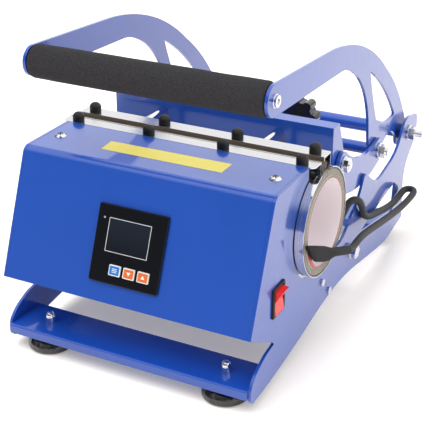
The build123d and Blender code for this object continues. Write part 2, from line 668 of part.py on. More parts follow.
# Arms: flat plates, pierced by a crescent, bent down to the knee and the pivot
LOBE_R = 16.0
for hand, sign in HANDS.items():
    with BuildPart() as arm:
        with BuildSketch(side(sign * ARM_X[0])):
            with BuildLine():
                Line(on_circle(GRIP, 14.6, 86), (193.2, 282.6))
                ThreePointArc((193.2, 282.6), (273.0, 264.2), (349.8, 219.9))
                ThreePointArc((349.8, 219.9), (391.5, 185.4), (431.4, 136.2))
                ThreePointArc((431.4, 136.2), on_circle(PIVOT, LOBE_R, -10), on_circle(PIVOT, LOBE_R, -120))
                ThreePointArc(on_circle(PIVOT, LOBE_R, -120), (404.2, 115.0), (402.0, 122.0))
                ThreePointArc((402.0, 122.0), (376.0, 137.2), (350.0, 126.5))
                ThreePointArc((350.0, 126.5), on_circle(KNEE, LOBE_R, -80), on_circle(KNEE, LOBE_R, 180))
                Line(on_circle(KNEE, LOBE_R, 180), (305.4, 158.0))
                ThreePointArc((305.4, 158.0), (287.5, 209.3), (240.0, 248.0))
                ThreePointArc((240.0, 248.0), (228.0, 252.9), (214.9, 255.2))
                Line((214.9, 255.2), on_circle(GRIP, 14.6, 266))
                ThreePointArc(on_circle(GRIP, 14.6, 266), on_circle(GRIP, 14.6, 176),
                              on_circle(GRIP, 14.6, 86))
            make_face()
            with BuildLine(mode=Mode.PRIVATE) as crescent:
                ThreePointArc((299.6, 230.4), (347.5, 198.0), (388.0, 157.5))
                ThreePointArc((388.0, 157.5), (388.6, 154.8), (386.0, 154.0))
                ThreePointArc((386.0, 154.0), (353.0, 157.6), (328.0, 169.0))
                ThreePointArc((328.0, 169.0), (314.0, 196.0), (299.6, 230.4))
            make_face(crescent.edges(), mode=Mode.SUBTRACT)
            with Locations(PIVOT, KNEE, GRIP):
                Circle(BOLT_R + LOOSE, mode=Mode.SUBTRACT)
        extrude(amount=sign * (ARM_X[1] - ARM_X[0]))
    save(arm, f"{hand}_arm")

# Links: sagging plates between the knee and the pressure channel
for hand, sign in HANDS.items():
    with BuildPart() as link:
        with BuildSketch(side(sign * LINK_X[0])):
            with BuildLine():
                ThreePointArc(on_circle(TOE, 13.0, 40), on_circle(TOE, 13.0, 130), on_circle(TOE,
                              13.0, 220))
                ThreePointArc(on_circle(TOE, 13.0, 220), (219.0, 136.0), (234.0, 121.5))
                ThreePointArc((234.0, 121.5), (276.0, 114.6), on_circle(KNEE, 13.5, -75))
                ThreePointArc(on_circle(KNEE, 13.5, -75), on_circle(KNEE, 13.5, 0),
                              on_circle(KNEE, 13.5, 95))
                ThreePointArc(on_circle(KNEE, 13.5, 95), (272.0, 148.0), on_circle(TOE, 13.0, 40))
            make_face()
            with Locations(TOE, KNEE):
                Circle(BOLT_R + RUNNING, mode=Mode.SUBTRACT)
        extrude(amount=sign * (LINK_X[1] - LINK_X[0]))
    save(link, f"{hand}_link")


def cross_tube(name, at, radius, bore, plug):
    """A tube between the arms, plugged at both ends for a threaded stud."""
    with BuildPart() as tube:
        with BuildSketch(side(-ARM_X[0])):
            with Locations(at):
                Circle(radius)
        extrude(amount=2 * ARM_X[0])
        with BuildSketch(side(-ARM_X[0] + plug)):
            with Locations(at):
                Circle(bore)
        extrude(amount=2 * (ARM_X[0] - plug), mode=Mode.SUBTRACT)
        for sign in (-1, 1):
            with BuildSketch(side(sign * ARM_X[0])):
                with Locations(at):
                    Circle(BOLT_R)
            extrude(amount=-sign * plug, mode=Mode.SUBTRACT)
    save(tube, name)


cross_tube("upper_cross_tube", PIVOT, 7.75, 5.75, 20.0)
cross_tube("lower_cross_tube", KNEE, 6.5, 5.0, 20.0)
cross_tube("grip_tube", GRIP, GRIP_TUBE_R, 9.0, 20.0)

with BuildPart() as foam:
    with BuildSketch(side(-ARM_X[0] + 0.6)):
        with Locations(GRIP):
            Circle(GRIP_R)
            Circle(GRIP_TUBE_R + 0.1, mode=Mode.SUBTRACT)
    extrude(amount=2 * (ARM_X[0] - 0.6))
    fillet(foam.edges().filter_by(GeomType.CIRCLE).filter_by(lambda e: e.radius > GRIP_R - 1), 2.0)
save(foam, "foam_grip")

NUT_AF = 13.0
NUT_T = 6.5
WASHER_T = 1.6
PIVOT_END = 147.0
TOE_WASHER_T = 1.0
TOE_NUT_T = 5.0
TOE_END = 134.0

STUD_IN = ARM_X[0] - 16.0
KNEE_END = 137.5

with BuildPart() as handle_studs:
    for at, end in ((PIVOT, PIVOT_END), (KNEE, KNEE_END)):
        for sign in (-1, 1):
            with BuildSketch(side(sign * STUD_IN)):
                with Locations(at):
                    Circle(BOLT_R - 0.02)
            extrude(amount=sign * (end - STUD_IN))
save(handle_studs, "handle_studs")


with BuildPart() as handle_nuts:
    for at, start in ((PIVOT, PLATE_OUT + GAP), (KNEE, LINK_X[1] + GAP)):
        for sign in (-1, 1):
            with BuildSketch(side(sign * start)):
                with Locations(at):
                    Circle(8.5)
                    Circle(BOLT_R + 0.03, mode=Mode.SUBTRACT)
            extrude(amount=sign * WASHER_T)
            with BuildSketch(side(sign * (start + WASHER_T))):
                with Locations(at):
                    RegularPolygon(NUT_AF / 2, 6, major_radius=False)
                    Circle(BOLT_R + 0.03, mode=Mode.SUBTRACT)
            extrude(amount=sign * NUT_T)
save(handle_nuts, "handle_nuts")

with BuildPart() as toe_bolts:
    for sign in (-1, 1):
        with BuildSketch(side(sign * (CHANNEL_X - CHANNEL_T))):
            with Locations(TOE):
                RegularPolygon(NUT_AF / 2, 6, major_radius=False)
        extrude(amount=-sign * 5.3)
        with BuildSketch(side(sign * (CHANNEL_X - CHANNEL_T))):
            with Locations(TOE):
                Circle(BOLT_R - 0.02)
        extrude(amount=sign * (TOE_END - CHANNEL_X + CHANNEL_T))
        with BuildSketch(side(sign * (LINK_X[1] + GAP))):
            with Locations(TOE):
                Circle(8.5)
                Circle(BOLT_R + 0.03, mode=Mode.SUBTRACT)
        extrude(amount=sign * TOE_WASHER_T)
        with BuildSketch(side(sign * (LINK_X[1] + GAP + TOE_WASHER_T))):
            with Locations(TOE):
                RegularPolygon(NUT_AF / 2, 6, major_radius=False)
                Circle(BOLT_R + 0.03, mode=Mode.SUBTRACT)
        extrude(amount=sign * TOE_NUT_T)
save(toe_bolts, "toe_bolts_and_nuts")

with BuildPart() as spacers:
    for sign in (-1, 1):
        with BuildSketch(side(sign * ARM_X[1])):
            with Locations(PIVOT):
                Circle(8.5)
                Circle(BOLT_R + 0.05, mode=Mode.SUBTRACT)
        extrude(amount=sign * (PLATE_IN - GAP - ARM_X[1]))
save(spacers, "pivot_spacers")

with BuildPart() as grip_bolts:
    for sign in (-1, 1):
        with BuildSketch(side(sign * ARM_X[1])):
            with Locations(GRIP):
                Circle(6.2)
        extrude(amount=sign * 1.2)
        with BuildSketch(side(sign * (ARM_X[1] + 1.2))):
            with Locations(GRIP):
                Circle(5.4)
        extrude(amount=sign * 2.2)
        with BuildSketch(side(sign * (ARM_X[1] + 3.4))):
            with Locations(GRIP):
                RegularPolygon(2.5, 6, major_radius=False)
        extrude(amount=-sign * 2.4, mode=Mode.SUBTRACT)
        with BuildSketch(side(sign * ARM_X[1])):
            with Locations(GRIP):
                Circle(BOLT_R - 0.02)
        extrude(amount=-sign * 19.0)
save(grip_bolts, "grip_bolts")

# Heater cord: out of the mat's end, back outside the right plate, round, in and forward to the housing
SLEEVE_R = CORD_R + 0.6
BOOT_X = MAT_X + GAP
CORD_X = BOOT_X + SLEEVE_R
SLEEVE_START = (150.0, 95.6)
SLEEVE_END = (197.0, 78.6)
with BuildPart() as boot:
    with BuildSketch(side(BOOT_X)):
        with BuildLine():
            Polyline((94.0, 130.0), (137.0, 112.0), (152.0, 99.6), (150.6, 91.2),
                     (108.0, 108.4), (94.0, 130.0))
        make_face()
    extrude(amount=4.6)
    fillet(boot.edges().filter_by(Axis.X), 1.5)
    sleeve_run = Line((CORD_X, FRONT_Y + SLEEVE_START[0] - 10.0, SLEEVE_START[1] + 3.617),
                      (CORD_X, FRONT_Y + SLEEVE_END[0], SLEEVE_END[1]), mode=Mode.PRIVATE)
    with BuildSketch(Plane(origin=sleeve_run @ 0, z_dir=sleeve_run % 0)):
        Circle(SLEEVE_R)
    extrude(amount=sleeve_run.length)
save(boot, "cord_boot")

CORD_ROUTE = [
    (CORD_X, 197.0, 78.6), (CORD_X, 208.0, 74.6), (CORD_X, 232.0, 77.4), (143.8, 262.0, 72.4),
    (143.6, 323.0, 60.1), (145.0, 360.0, 55.6), (147.6, 386.0, 57.0), (148.0, 404.8, 58.6),
    (144.0, 408.8, 59.6), (138.4, 408.8, 59.2), (134.4, 404.8, 57.8), (134.4, 380.0, 55.4),
    (134.4, 350.0, 59.4), (134.4, 318.0, 67.4), (134.4, 285.0, 75.4), (134.6, 267.0, 85.0),
    (135.4, 257.5, 100.5), (132.2, 252.0, 109.4), (125.6, 246.5, 108.2), (121.4, 241.0, 96.5),
    (118.0, 233.0, 84.0), (115.4, 220.0, 75.3), (111.5, 194.0, 69.4), (108.0, 155.0, 67.6),
    (105.0, 120.0, 66.0), (GROMMET[0], COVER_WALL - 3.0, GROMMET[1]),
]


def bend_radii(points):
    """The largest bend at each point of a route that its two runs leave room for."""
    corners = [Vector(*p) for p in points]
    found = []
    for before, corner, after in zip(corners, corners[1:], corners[2:]):
        run_in = corner - before
        run_out = after - corner
        turn = radians(run_in.get_angle(run_out))
        found.append(0.45 * min(run_in.length, run_out.length) / tan(turn / 2))
    return found


cord_points = [(x, FRONT_Y + y, z) for x, y, z in CORD_ROUTE]
cord_radii = bend_radii(cord_points)
print("cord radii", [round(r, 1) for r in cord_radii])
with BuildPart() as cord:
    with BuildLine() as cord_path:
        FilletPolyline(*cord_points, radius=cord_radii)
    with BuildSketch(Plane(origin=cord_path.line @ 0, z_dir=cord_path.line % 0)):
        Circle(CORD_R)
    sweep()
cord_length = sum(edge.length for edge in cord_path.edges())
print("cord length", round(cord_length, 1))
save(cord, "heater_cord")

with BuildPart() as grommet:
    with BuildSketch(Plane(origin=(GROMMET[0], FRONT_Y + COVER_WALL, GROMMET[1]), x_dir=(1, 0, 0),
                           z_dir=(0, 0, 1))):
        Polygon((CORD_R + 0.05, 2.0), (7.5, 2.0), (7.5, 0.05), (5.1, 0.05), (5.1, -SHEET - 0.05),
                (7.5, -SHEET - 0.05), (7.5, -SHEET - 2.0), (CORD_R + 0.05, -SHEET - 2.0), align=None)
    revolve(axis=Axis((GROMMET[0], FRONT_Y, GROMMET[1]), (0, 1, 0)))
save(grommet, "cord_grommet")
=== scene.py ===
"""Tumbler heat press: finishes, soft parts, cord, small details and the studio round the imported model."""

import json
from math import cos, pi, radians, sin, tau

import bmesh
import bpy
from bpy.props import FloatProperty, FloatVectorProperty, IntProperty
from mathutils import Matrix, Vector


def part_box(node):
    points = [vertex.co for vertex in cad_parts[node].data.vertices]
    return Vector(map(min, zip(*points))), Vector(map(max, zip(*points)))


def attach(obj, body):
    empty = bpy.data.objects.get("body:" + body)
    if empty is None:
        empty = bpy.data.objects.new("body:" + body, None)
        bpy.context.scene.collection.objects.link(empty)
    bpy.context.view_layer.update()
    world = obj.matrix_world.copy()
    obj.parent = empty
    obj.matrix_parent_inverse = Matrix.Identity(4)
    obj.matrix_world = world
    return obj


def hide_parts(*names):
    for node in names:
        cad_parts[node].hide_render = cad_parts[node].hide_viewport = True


bl_info = {
    "name": "Tumbler heat press",
    "version": (1, 0, 0),
    "blender": (4, 5, 0),
    "location": "3D View > Sidebar > Heat press",
    "description": "Finishes the sheet metal, mat, grip, cord and controller of a tumbler heat press",
    "category": "Object",
}

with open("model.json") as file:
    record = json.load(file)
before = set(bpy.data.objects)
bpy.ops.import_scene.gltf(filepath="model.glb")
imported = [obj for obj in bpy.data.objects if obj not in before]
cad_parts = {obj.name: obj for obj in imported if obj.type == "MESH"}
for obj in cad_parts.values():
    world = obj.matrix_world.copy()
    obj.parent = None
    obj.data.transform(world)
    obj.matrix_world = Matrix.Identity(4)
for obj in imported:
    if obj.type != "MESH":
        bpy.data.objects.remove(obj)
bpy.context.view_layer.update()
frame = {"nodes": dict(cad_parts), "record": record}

# Places and sizes in millimetres. A pair is back from the front edge, and up from the floor
MM = 0.001
FRONT = -227.1            # the front tray's edge, in the frame's Y
BORE = (142.0, 132.5)     # the mat's axis
MAT_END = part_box("front_mat_liner")[1].x / MM
CUT_FACE = MAT_END - 0.15  # past here a mat piece shows its cut end
LINE_R = 43.0             # outer radius of the thin line round the bore
BEND = (47.1, 194.5)      # bend between the housing's front and top
SKIRT = (0.0, 77.6)       # lower edge of the housing's front
BEZEL_DOWN = 71.7         # the controller's centre, down the slope from the bend
BEZEL_X = -1.0
BEZEL_T = 3.0
PIVOT = (421.2, 123.1)
KNEE = (327.6, 134.5)
TOE = (220.0, 158.8)


def at(x, back, up):
    """A point in metres from millimetres across, back from the front edge and up."""
    return Vector((x * MM, (FRONT + back) * MM, up * MM))


# The controller's face: its own x runs across and its own y runs up the slope
ACROSS = Vector((1, 0, 0))
SLOPE = Vector((0, SKIRT[0] - BEND[0], SKIRT[1] - BEND[1])).normalized()
FACE_UP = -SLOPE
FACE_OUT = ACROSS.cross(FACE_UP)
FACE_CENTRE = at(BEZEL_X, BEND[0] + SLOPE.y * BEZEL_DOWN, BEND[1] + SLOPE.z * BEZEL_DOWN)


def on_face(x, y, proud=0.0):
    """A point on the controller's front face, in metres, standing proud of it."""
    return FACE_CENTRE + (ACROSS * x + FACE_UP * y + FACE_OUT * (BEZEL_T + proud)) * MM


class Value:
    """A socket in a tree of nodes, with the arithmetic that adds its Math nodes."""

    def __init__(self, tree, socket):
        self.tree = tree
        self.socket = socket

    def math(self, operation, *others):
        node = self.tree.node("ShaderNodeMath", {"operation": operation}, [self, *others])
        return node.out(0)

    def __add__(self, other):
        return self.math("ADD", other)

    def __sub__(self, other):
        return self.math("SUBTRACT", other)

    def __rsub__(self, other):
        return (self * -1.0) + other

    def __mul__(self, other):
        return self.math("MULTIPLY", other)

    def __pow__(self, other):
        return self.math("POWER", other)

    __radd__ = __add__
    __rmul__ = __mul__

    def sine(self):
        return self.math("SINE")

    def larger(self, other):
        return self.math("MAXIMUM", other)

    def smooth(self, low, high, first=0.0, last=1.0):
        """The first value below low and the last above high, with a smooth step between."""
        inputs = {"Value": self, "From Min": low, "From Max": high, "To Min": first, "To Max": last}
        node = self.tree.node("ShaderNodeMapRange", {"interpolation_type": "SMOOTHSTEP"}, inputs)
        return node.out(0)


class Node:
    """One node of a tree and its outputs."""

    def __init__(self, tree, made):
        self.tree = tree
        self.made = made

    def out(self, name):
        return Value(self.tree, self.made.outputs[name])


class Tree:
    """A tree of nodes under construction, in a material, the world or a modifier."""

    def __init__(self, made):
        self.made = made

    def put(self, socket, value):
        """Puts a number, a colour or a link into a socket of any node."""
        if isinstance(value, Value):
            self.made.links.new(value.socket, socket)
        elif isinstance(value, (tuple, list)) and len(value) == 3 and socket.type == "RGBA":
            socket.default_value = (*value, 1.0)
        else:
            socket.default_value = value

    def node(self, kind, settings=None, inputs=None):
        """Adds a node: its settings first, then the values or links of its sockets."""
        made = self.made.nodes.new(kind)
        for name, value in (settings or {}).items():
            setattr(made, name, value)
        items = inputs.items() if isinstance(inputs, dict) else enumerate(inputs or [])
        for name, value in items:
            self.put(made.inputs[name], value)
        return Node(self, made)

    def axes(self, vector):
        """The three parts of a vector as values."""
        node = self.node("ShaderNodeSeparateXYZ", {}, [vector])
        return node.out(0), node.out(1), node.out(2)


MIX_FIRST = 6             # the Mix node's sockets for colours
MIX_SECOND = 7
MIX_RESULT = 2


class Finish(Tree):
    """A material under construction."""

    def __init__(self, name, color, roughness, metallic=0.0, **fixed):
        self.material = bpy.data.materials.new(name)
        self.material.use_nodes = True
        super().__init__(self.material.node_tree)
        self.shader = self.made.nodes["Principled BSDF"]
        self.set("Base Color", (*color, 1.0))
        self.set("Roughness", roughness)
        self.set("Metallic", metallic)
        for socket, value in fixed.items():
            self.set(socket.replace("_", " "), value)
        self.material.diffuse_color = (*color, 1.0)

    def set(self, socket, value):
        """Puts a value into the shader's socket of a given name."""
        self.put(self.shader.inputs[socket], value)

    def place(self):
        """Object coordinates, in metres."""
        return self.node("ShaderNodeTexCoord").out("Object")

    def stretched(self, scale):
        """Object coordinates, scaled along each axis."""
        return self.node("ShaderNodeMapping", {}, {"Vector": self.place(), "Scale": scale}).out(0)

    def noise(self, scale, detail=2.0, vector=None, roughness=0.5):
        inputs = {"Scale": scale, "Detail": detail, "Roughness": roughness,
                  "Vector": vector or self.place()}
        return self.node("ShaderNodeTexNoise", {}, inputs).out("Fac")

    def mix(self, factor, first, second):
        """A colour between two, by a factor from 0 to 1."""
        inputs = {"Factor": factor, MIX_FIRST: first, MIX_SECOND: second}
        return self.node("ShaderNodeMix", {"data_type": "RGBA"}, inputs).out(MIX_RESULT)

    def bump(self, height, depth, strength):
        """Relief of a depth in millimetres, from a height of 0 to 1."""
        inputs = {"Strength": strength, "Distance": depth * MM, "Height": height}
        node = self.node("ShaderNodeBump", {}, inputs)
        self.set("Normal", node.out(0))


class PressColours(bpy.types.PropertyGroup):
    """Colours of the press's finishes."""
    coat: FloatVectorProperty(name="Powder coat", description="Blue of the sheet metal",
                              subtype="COLOR", size=3, default=(0.0105, 0.079, 0.46))
    foam: FloatVectorProperty(name="Foam", description="Closed-cell foam of the grip",
                              subtype="COLOR", size=3, default=(0.012, 0.012, 0.013))
    liner: FloatVectorProperty(name="Liner", description="Silicone face of the heating mat",
                               subtype="COLOR", size=3, default=(0.93, 0.86, 0.89))
    strip: FloatVectorProperty(name="Strip", description="Plain strip on the housing's top",
                               subtype="COLOR", size=3, default=(0.86, 0.72, 0.05))


class PressSizes(bpy.types.PropertyGroup):
    """Sizes of what is added to the frame."""
    edge: FloatProperty(name="Edge radius", description="Rounding of the cut sheet's edges, in millimetres",
                        default=0.25, min=0.05, max=1.0)
    grip_radius: FloatProperty(name="Grip radius", description="Outside radius of the foam, in millimetres",
                               default=16.0, min=10.0, max=25.0)
    cord_radius: FloatProperty(name="Cord radius", description="Radius of the sleeved cord, in millimetres",
                               default=3.7, min=2.0, max=5.0)
    thread_pitch: FloatProperty(name="Thread pitch", description="Pitch of the studs, in millimetres",
                                default=1.25, min=0.5, max=2.0)
    cord_sides: IntProperty(name="Cord sides", description="Sides of the cord's tube",
                            default=20, min=8, max=48)


class PressStage(bpy.types.PropertyGroup):
    """Light and background."""
    key: FloatProperty(name="Key light", description="Strength of the wide light overhead", default=1.75)
    ambient: FloatProperty(name="Ambient", description="Strength of the white behind and above",
                           default=1.18)
    dim: FloatProperty(name="Dim side", description="Strength of the surroundings behind the camera",
                       default=0.14)


def settings():
    """The scene's colours, sizes and stage."""
    scene = bpy.context.scene
    return scene.press_colours, scene.press_sizes, scene.press_stage


# Finishes

def scaled(color, by):
    """A colour made darker or lighter, no channel past 1."""
    return tuple(min(1.0, c * by) for c in color)


def powder_coat():
    """Glossy blue powder coat: faint orange peel, a little variation in depth of colour."""
    blue = tuple(settings()[0].coat)
    f = Finish("blue_powder_coat", blue, 0.32, Coat_Weight=1.0, Coat_Roughness=0.05, Specular_IOR_Level=0.5)
    patches = f.noise(9.0, 3.0)
    f.set("Base Color", f.mix(patches, scaled(blue, 0.90), scaled(blue, 1.10)))
    f.set("Roughness", 0.27 + f.noise(60.0, 2.0) * 0.10)
    f.bump(f.noise(850.0, 1.0), 0.02, 0.55)
    return f.material


def chrome():
    """Bright plating of the nuts, bolts and rods."""
    f = Finish("chrome_plate", (0.82, 0.82, 0.84), 0.07, 1.0)
    f.set("Roughness", 0.05 + f.noise(160.0, 3.0) * 0.08)
    return f.material


def bright_steel():
    """Rolled steel, finely brushed along the press's width."""
    f = Finish("bright_steel", (0.64, 0.64, 0.65), 0.2, 1.0)
    grain = f.noise(1.0, 3.0, f.stretched((14.0, 1400.0, 1400.0)))
    ends = beyond(f.axes(f.place())[0], CUT_FACE)
    f.set("Base Color", f.mix(ends, (0.68, 0.68, 0.69), (0.20, 0.19, 0.18)))
    f.set("Roughness", 0.13 + grain * 0.16 + ends * 0.4)
    f.bump(grain, 0.008, 0.4)
    return f.material


def zinc():
    """Dull plating of the brackets, the cap studs and the grip's tube."""
    f = Finish("zinc_plate", (0.60, 0.59, 0.56), 0.35, 1.0)
    f.set("Roughness", 0.28 + f.noise(120.0, 4.0) * 0.2)
    return f.material


def band_steel():
    """Mirror-bright band that draws the mat half tight."""
    f = Finish("bright_band", (0.80, 0.80, 0.82), 0.10, 1.0)
    f.set("Roughness", 0.08 + f.noise(90.0, 2.0) * 0.06)
    return f.material


def felt():
    """Grey glass-fibre insulation, speckled and fibrous at its cut end."""
    f = Finish("felt_insulation", (0.30, 0.28, 0.25), 0.95)
    speck = f.noise(900.0, 4.0, roughness=0.7)
    cloud = f.noise(120.0, 3.0)
    tone = f.mix(speck.smooth(0.38, 0.62), (0.20, 0.185, 0.165), (0.42, 0.40, 0.37))
    f.set("Base Color", f.mix(cloud.smooth(0.3, 0.7) * 0.5, tone, (0.33, 0.29, 0.24)))
    f.bump(speck + cloud * 0.6, 0.35, 0.8)
    return f.material


def beyond(x, limit):
    """1 past a distance from the middle, in millimetres, else 0: a mat end's cut face."""
    return (x * x).smooth((limit * MM) ** 2 - 1e-6, (limit * MM) ** 2)


def silicone_liner():
    """Pinkish white inside, lifted by a painted glow; at the cut ends felt-coloured, with a thin orange-red
    line round the bore.
    """
    pale = tuple(settings()[0].liner)
    f = Finish("silicone_liner", pale, 0.38, Specular_IOR_Level=0.4)
    x, y, z = f.axes(f.place())
    back = y - (FRONT + BORE[0]) * MM
    up = z - BORE[1] * MM
    distance = (back * back + up * up) ** 0.5
    blotch = f.noise(22.0, 3.0)
    face = f.mix(blotch, scaled(pale, 0.95), scaled(pale, 1.04))
    line = distance.smooth((LINE_R - 0.05) * MM, (LINE_R + 0.05) * MM)
    cut = f.mix(line, (0.66, 0.15, 0.07), (0.30, 0.275, 0.24))
    ends = beyond(x, CUT_FACE)
    f.set("Base Color", f.mix(ends, face, cut))
    f.set("Roughness", 0.34 + ends * 0.4)
    # Painted light: the faces inside the bore glow faintly in the liner's own colour to lift the shade
    # there; the cut ends don't glow.
    f.set("Emission Color", f.mix(ends, pale, (0.0, 0.0, 0.0)))
    f.set("Emission Strength", 0.07)
    f.bump(f.noise(500.0, 2.0), 0.03, 0.4)
    return f.material


def brown_silicone():
    """Dark brown flap in the slot over the mat."""
    f = Finish("brown_silicone", (0.20, 0.125, 0.07), 0.55)
    f.set("Base Color", f.mix(f.noise(40.0, 3.0), (0.060, 0.040, 0.026), (0.115, 0.080, 0.054)))
    f.bump(f.noise(420.0, 3.0), 0.08, 0.6)
    return f.material


def foam():
    """Black closed-cell foam with its fine open skin."""
    f = Finish("grip_foam", tuple(settings()[0].foam), 0.92, Specular_IOR_Level=0.25)
    cells = f.noise(1500.0, 2.0, roughness=0.6)
    pits = f.node("ShaderNodeTexVoronoi", {}, {"Vector": f.place(), "Scale": 900.0}).out("Distance")
    f.set("Base Color", f.mix(cells.smooth(0.35, 0.7), (0.022, 0.021, 0.024), (0.056, 0.054, 0.060)))
    f.bump(cells + pits * 0.8, 0.18, 0.7)
    return f.material


def rubber():
    """Black rubber of the caps and the grommet."""
    f = Finish("black_rubber", (0.012, 0.012, 0.013), 0.45, Specular_IOR_Level=0.45)
    f.set("Roughness", 0.36 + f.noise(70.0, 4.0) * 0.22)
    f.bump(f.noise(700.0, 2.0), 0.03, 0.5)
    return f.material


def cup_rubber():
    """Glossy black of the feet, faintly wavy where the rubber has flowed."""
    f = Finish("cup_rubber", (0.009, 0.009, 0.010), 0.16,
               Specular_IOR_Level=0.6, Coat_Weight=0.7, Coat_Roughness=0.06)
    f.set("Roughness", 0.10 + f.noise(110.0, 3.0) * 0.12)
    inputs = {"Vector": f.stretched((1.0, 1.0, 0.5)), "Scale": 190.0}
    folds = f.node("ShaderNodeTexVoronoi", {}, inputs).out("Distance")
    f.bump(folds + f.noise(240.0, 2.0) * 0.5, 2.4, 0.9)
    return f.material


def knob_black():
    """Hard glossy moulding of the pressure knobs."""
    f = Finish("knob_black", (0.008, 0.008, 0.009), 0.22, Coat_Weight=0.5, Coat_Roughness=0.08)
    f.set("Roughness", 0.18 + f.noise(80.0, 3.0) * 0.12)
    f.bump(f.noise(300.0, 2.0), 0.05, 0.5)
    return f.material


def moulded_black():
    """Matt black of the switch, the inlet and the controller's case."""
    f = Finish("moulded_black", (0.012, 0.012, 0.014), 0.42, Specular_IOR_Level=0.25)
    f.bump(f.noise(1100.0, 1.0), 0.02, 0.6)
    return f.material


def gloss_black():
    """Smooth black of the controller's bezel."""
    f = Finish("controller_black", (0.005, 0.006, 0.009), 0.25,
               Specular_IOR_Level=0.22, Coat_Weight=0.06, Coat_Roughness=0.12)
    f.bump(f.noise(900.0, 1.0), 0.012, 0.5)
    return f.material


def display_glass():
    """Unlit navy display behind its window, with a painted reflection that makes it a little lighter
    towards its top.
    """
    f = Finish("display_glass", (0.016, 0.035, 0.075), 0.08, Coat_Weight=0.6, Coat_Roughness=0.03)
    # Painted reflection: the colour grows lighter towards the top, standing in for the light from above on
    # the glass.
    rise = f.axes(f.place())[2].smooth(120 * MM, 152 * MM)
    f.set("Base Color", f.mix(rise, (0.004, 0.006, 0.012), (0.010, 0.016, 0.029)))
    return f.material


def gloss_plastic(name, color, roughness=0.28):
    """Coloured plastic with a soft gloss."""
    f = Finish(name, color, roughness, Coat_Weight=0.3, Coat_Roughness=0.1)
    f.set("Roughness", roughness - 0.04 + f.noise(200.0, 2.0) * 0.08)
    f.bump(f.noise(600.0, 1.0), 0.01, 0.4)
    return f.material


def red_rocker():
    """Clear red plastic, with a painted glow all over that stands in for light passing through it."""
    f = Finish("red_rocker", (0.74, 0.018, 0.014), 0.22, Coat_Weight=0.2, Coat_Roughness=0.12)
    f.bump(f.noise(600.0, 1.0), 0.01, 0.4)
    # Painted light: an even red glow over the whole rocker, not light from a lamp.
    f.set("Emission Color", (0.90, 0.045, 0.035))
    f.set("Emission Strength", 0.22)
    return f.material


def circuit():
    """Green circuit board with its tracks."""
    f = Finish("circuit_board", (0.02, 0.16, 0.07), 0.4)
    tracks = f.node("ShaderNodeTexVoronoi", {"feature": "DISTANCE_TO_EDGE"},
                    {"Vector": f.place(), "Scale": 260.0}).out("Distance")
    f.set("Base Color", f.mix(tracks.smooth(0.03, 0.08), (0.30, 0.34, 0.10), (0.02, 0.15, 0.06)))
    return f.material


def boot_silicone():
    """Matt black of the cord's boot."""
    f = Finish("boot_silicone", (0.020, 0.020, 0.022), 0.6, Specular_IOR_Level=0.10)
    f.bump(f.noise(500.0, 2.0), 0.04, 0.5)
    return f.material


STRANDS = 6               # strands round the sleeve, each way
LAY = 4200.0              # turn of the strands along the cord, in radians per metre


def braided_sleeve():
    """Dark braided sleeve: two crossing sets of strands, drawn along the cord's own length."""
    f = Finish("braided_sleeve", (0.030, 0.030, 0.032), 0.62)
    around, along = f.axes(f.node("ShaderNodeUVMap", {"uv_map": "cord"}).out(0))[:2]
    one = (around * (tau * STRANDS) + along * LAY).sine()
    other = (around * (tau * STRANDS) - along * LAY).sine()
    weave = (one * other) * 0.5 + 0.5
    f.set("Base Color", f.mix(weave, (0.012, 0.012, 0.014), (0.060, 0.060, 0.064)))
    f.set("Roughness", 0.72 - weave * 0.22)
    f.bump(weave, 0.25, 0.8)
    return f.material


def print_and_painted_shade(name, color, roughness=0.5):
    """A flat mark in one colour: ink, a thin plastic mark, and the dark plates of painted shade in the
    screws' recesses.
    """
    f = Finish(name, color, roughness)
    f.set("Roughness", roughness - 0.05 + f.noise(300.0, 2.0) * 0.1)
    return f.material


def plain_strip():
    """Plain yellow film."""
    f = Finish("yellow_strip", tuple(settings()[0].strip), 0.35, Coat_Weight=0.3, Coat_Roughness=0.15)
    f.set("Base Color", f.mix(f.noise(30.0, 2.0), (0.84, 0.70, 0.06), (0.90, 0.77, 0.09)))
    return f.material


# Meshes

def piece(name, mesh, material, body, replaces=()):
    """Puts a finished mesh into the scene and fastens it to its body."""
    made = bpy.data.objects.new(name, mesh)
    bpy.context.scene.collection.objects.link(made)
    mesh.materials.clear()
    mesh.materials.append(material)
    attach(made, body)
    if replaces:
        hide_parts(*replaces)
    return made


def finished_mesh(name, bm):
    """The bmesh as a mesh; the bmesh goes."""
    mesh = bpy.data.meshes.new(name)
    bm.to_mesh(mesh)
    bm.free()
    return mesh


def baked(made):
    """The object's mesh with its modifiers applied, as a plain mesh; the object goes."""
    bpy.context.view_layer.update()
    evaluated = made.evaluated_get(bpy.context.evaluated_depsgraph_get())
    mesh = bpy.data.meshes.new_from_object(evaluated)
    bpy.data.objects.remove(made)
    return mesh


MERGE = 2e-6              # vertices nearer than this are one, in metres
FLAT_ANGLE = 1.5          # faces nearer to flat than this are joined, in degrees
SHARP_ANGLE = 34.0        # edges over this are sharp, in degrees
FLAT_WEIGHT = 80          # how far large faces rule the shading of the rounded edges


def smoothed(mesh, angle=SHARP_ANGLE):
    """The mesh with smooth shading, apart from its sharp edges."""
    for polygon in mesh.polygons:
        polygon.use_smooth = True
    mesh.set_sharp_from_angle(angle=radians(angle))
    return mesh


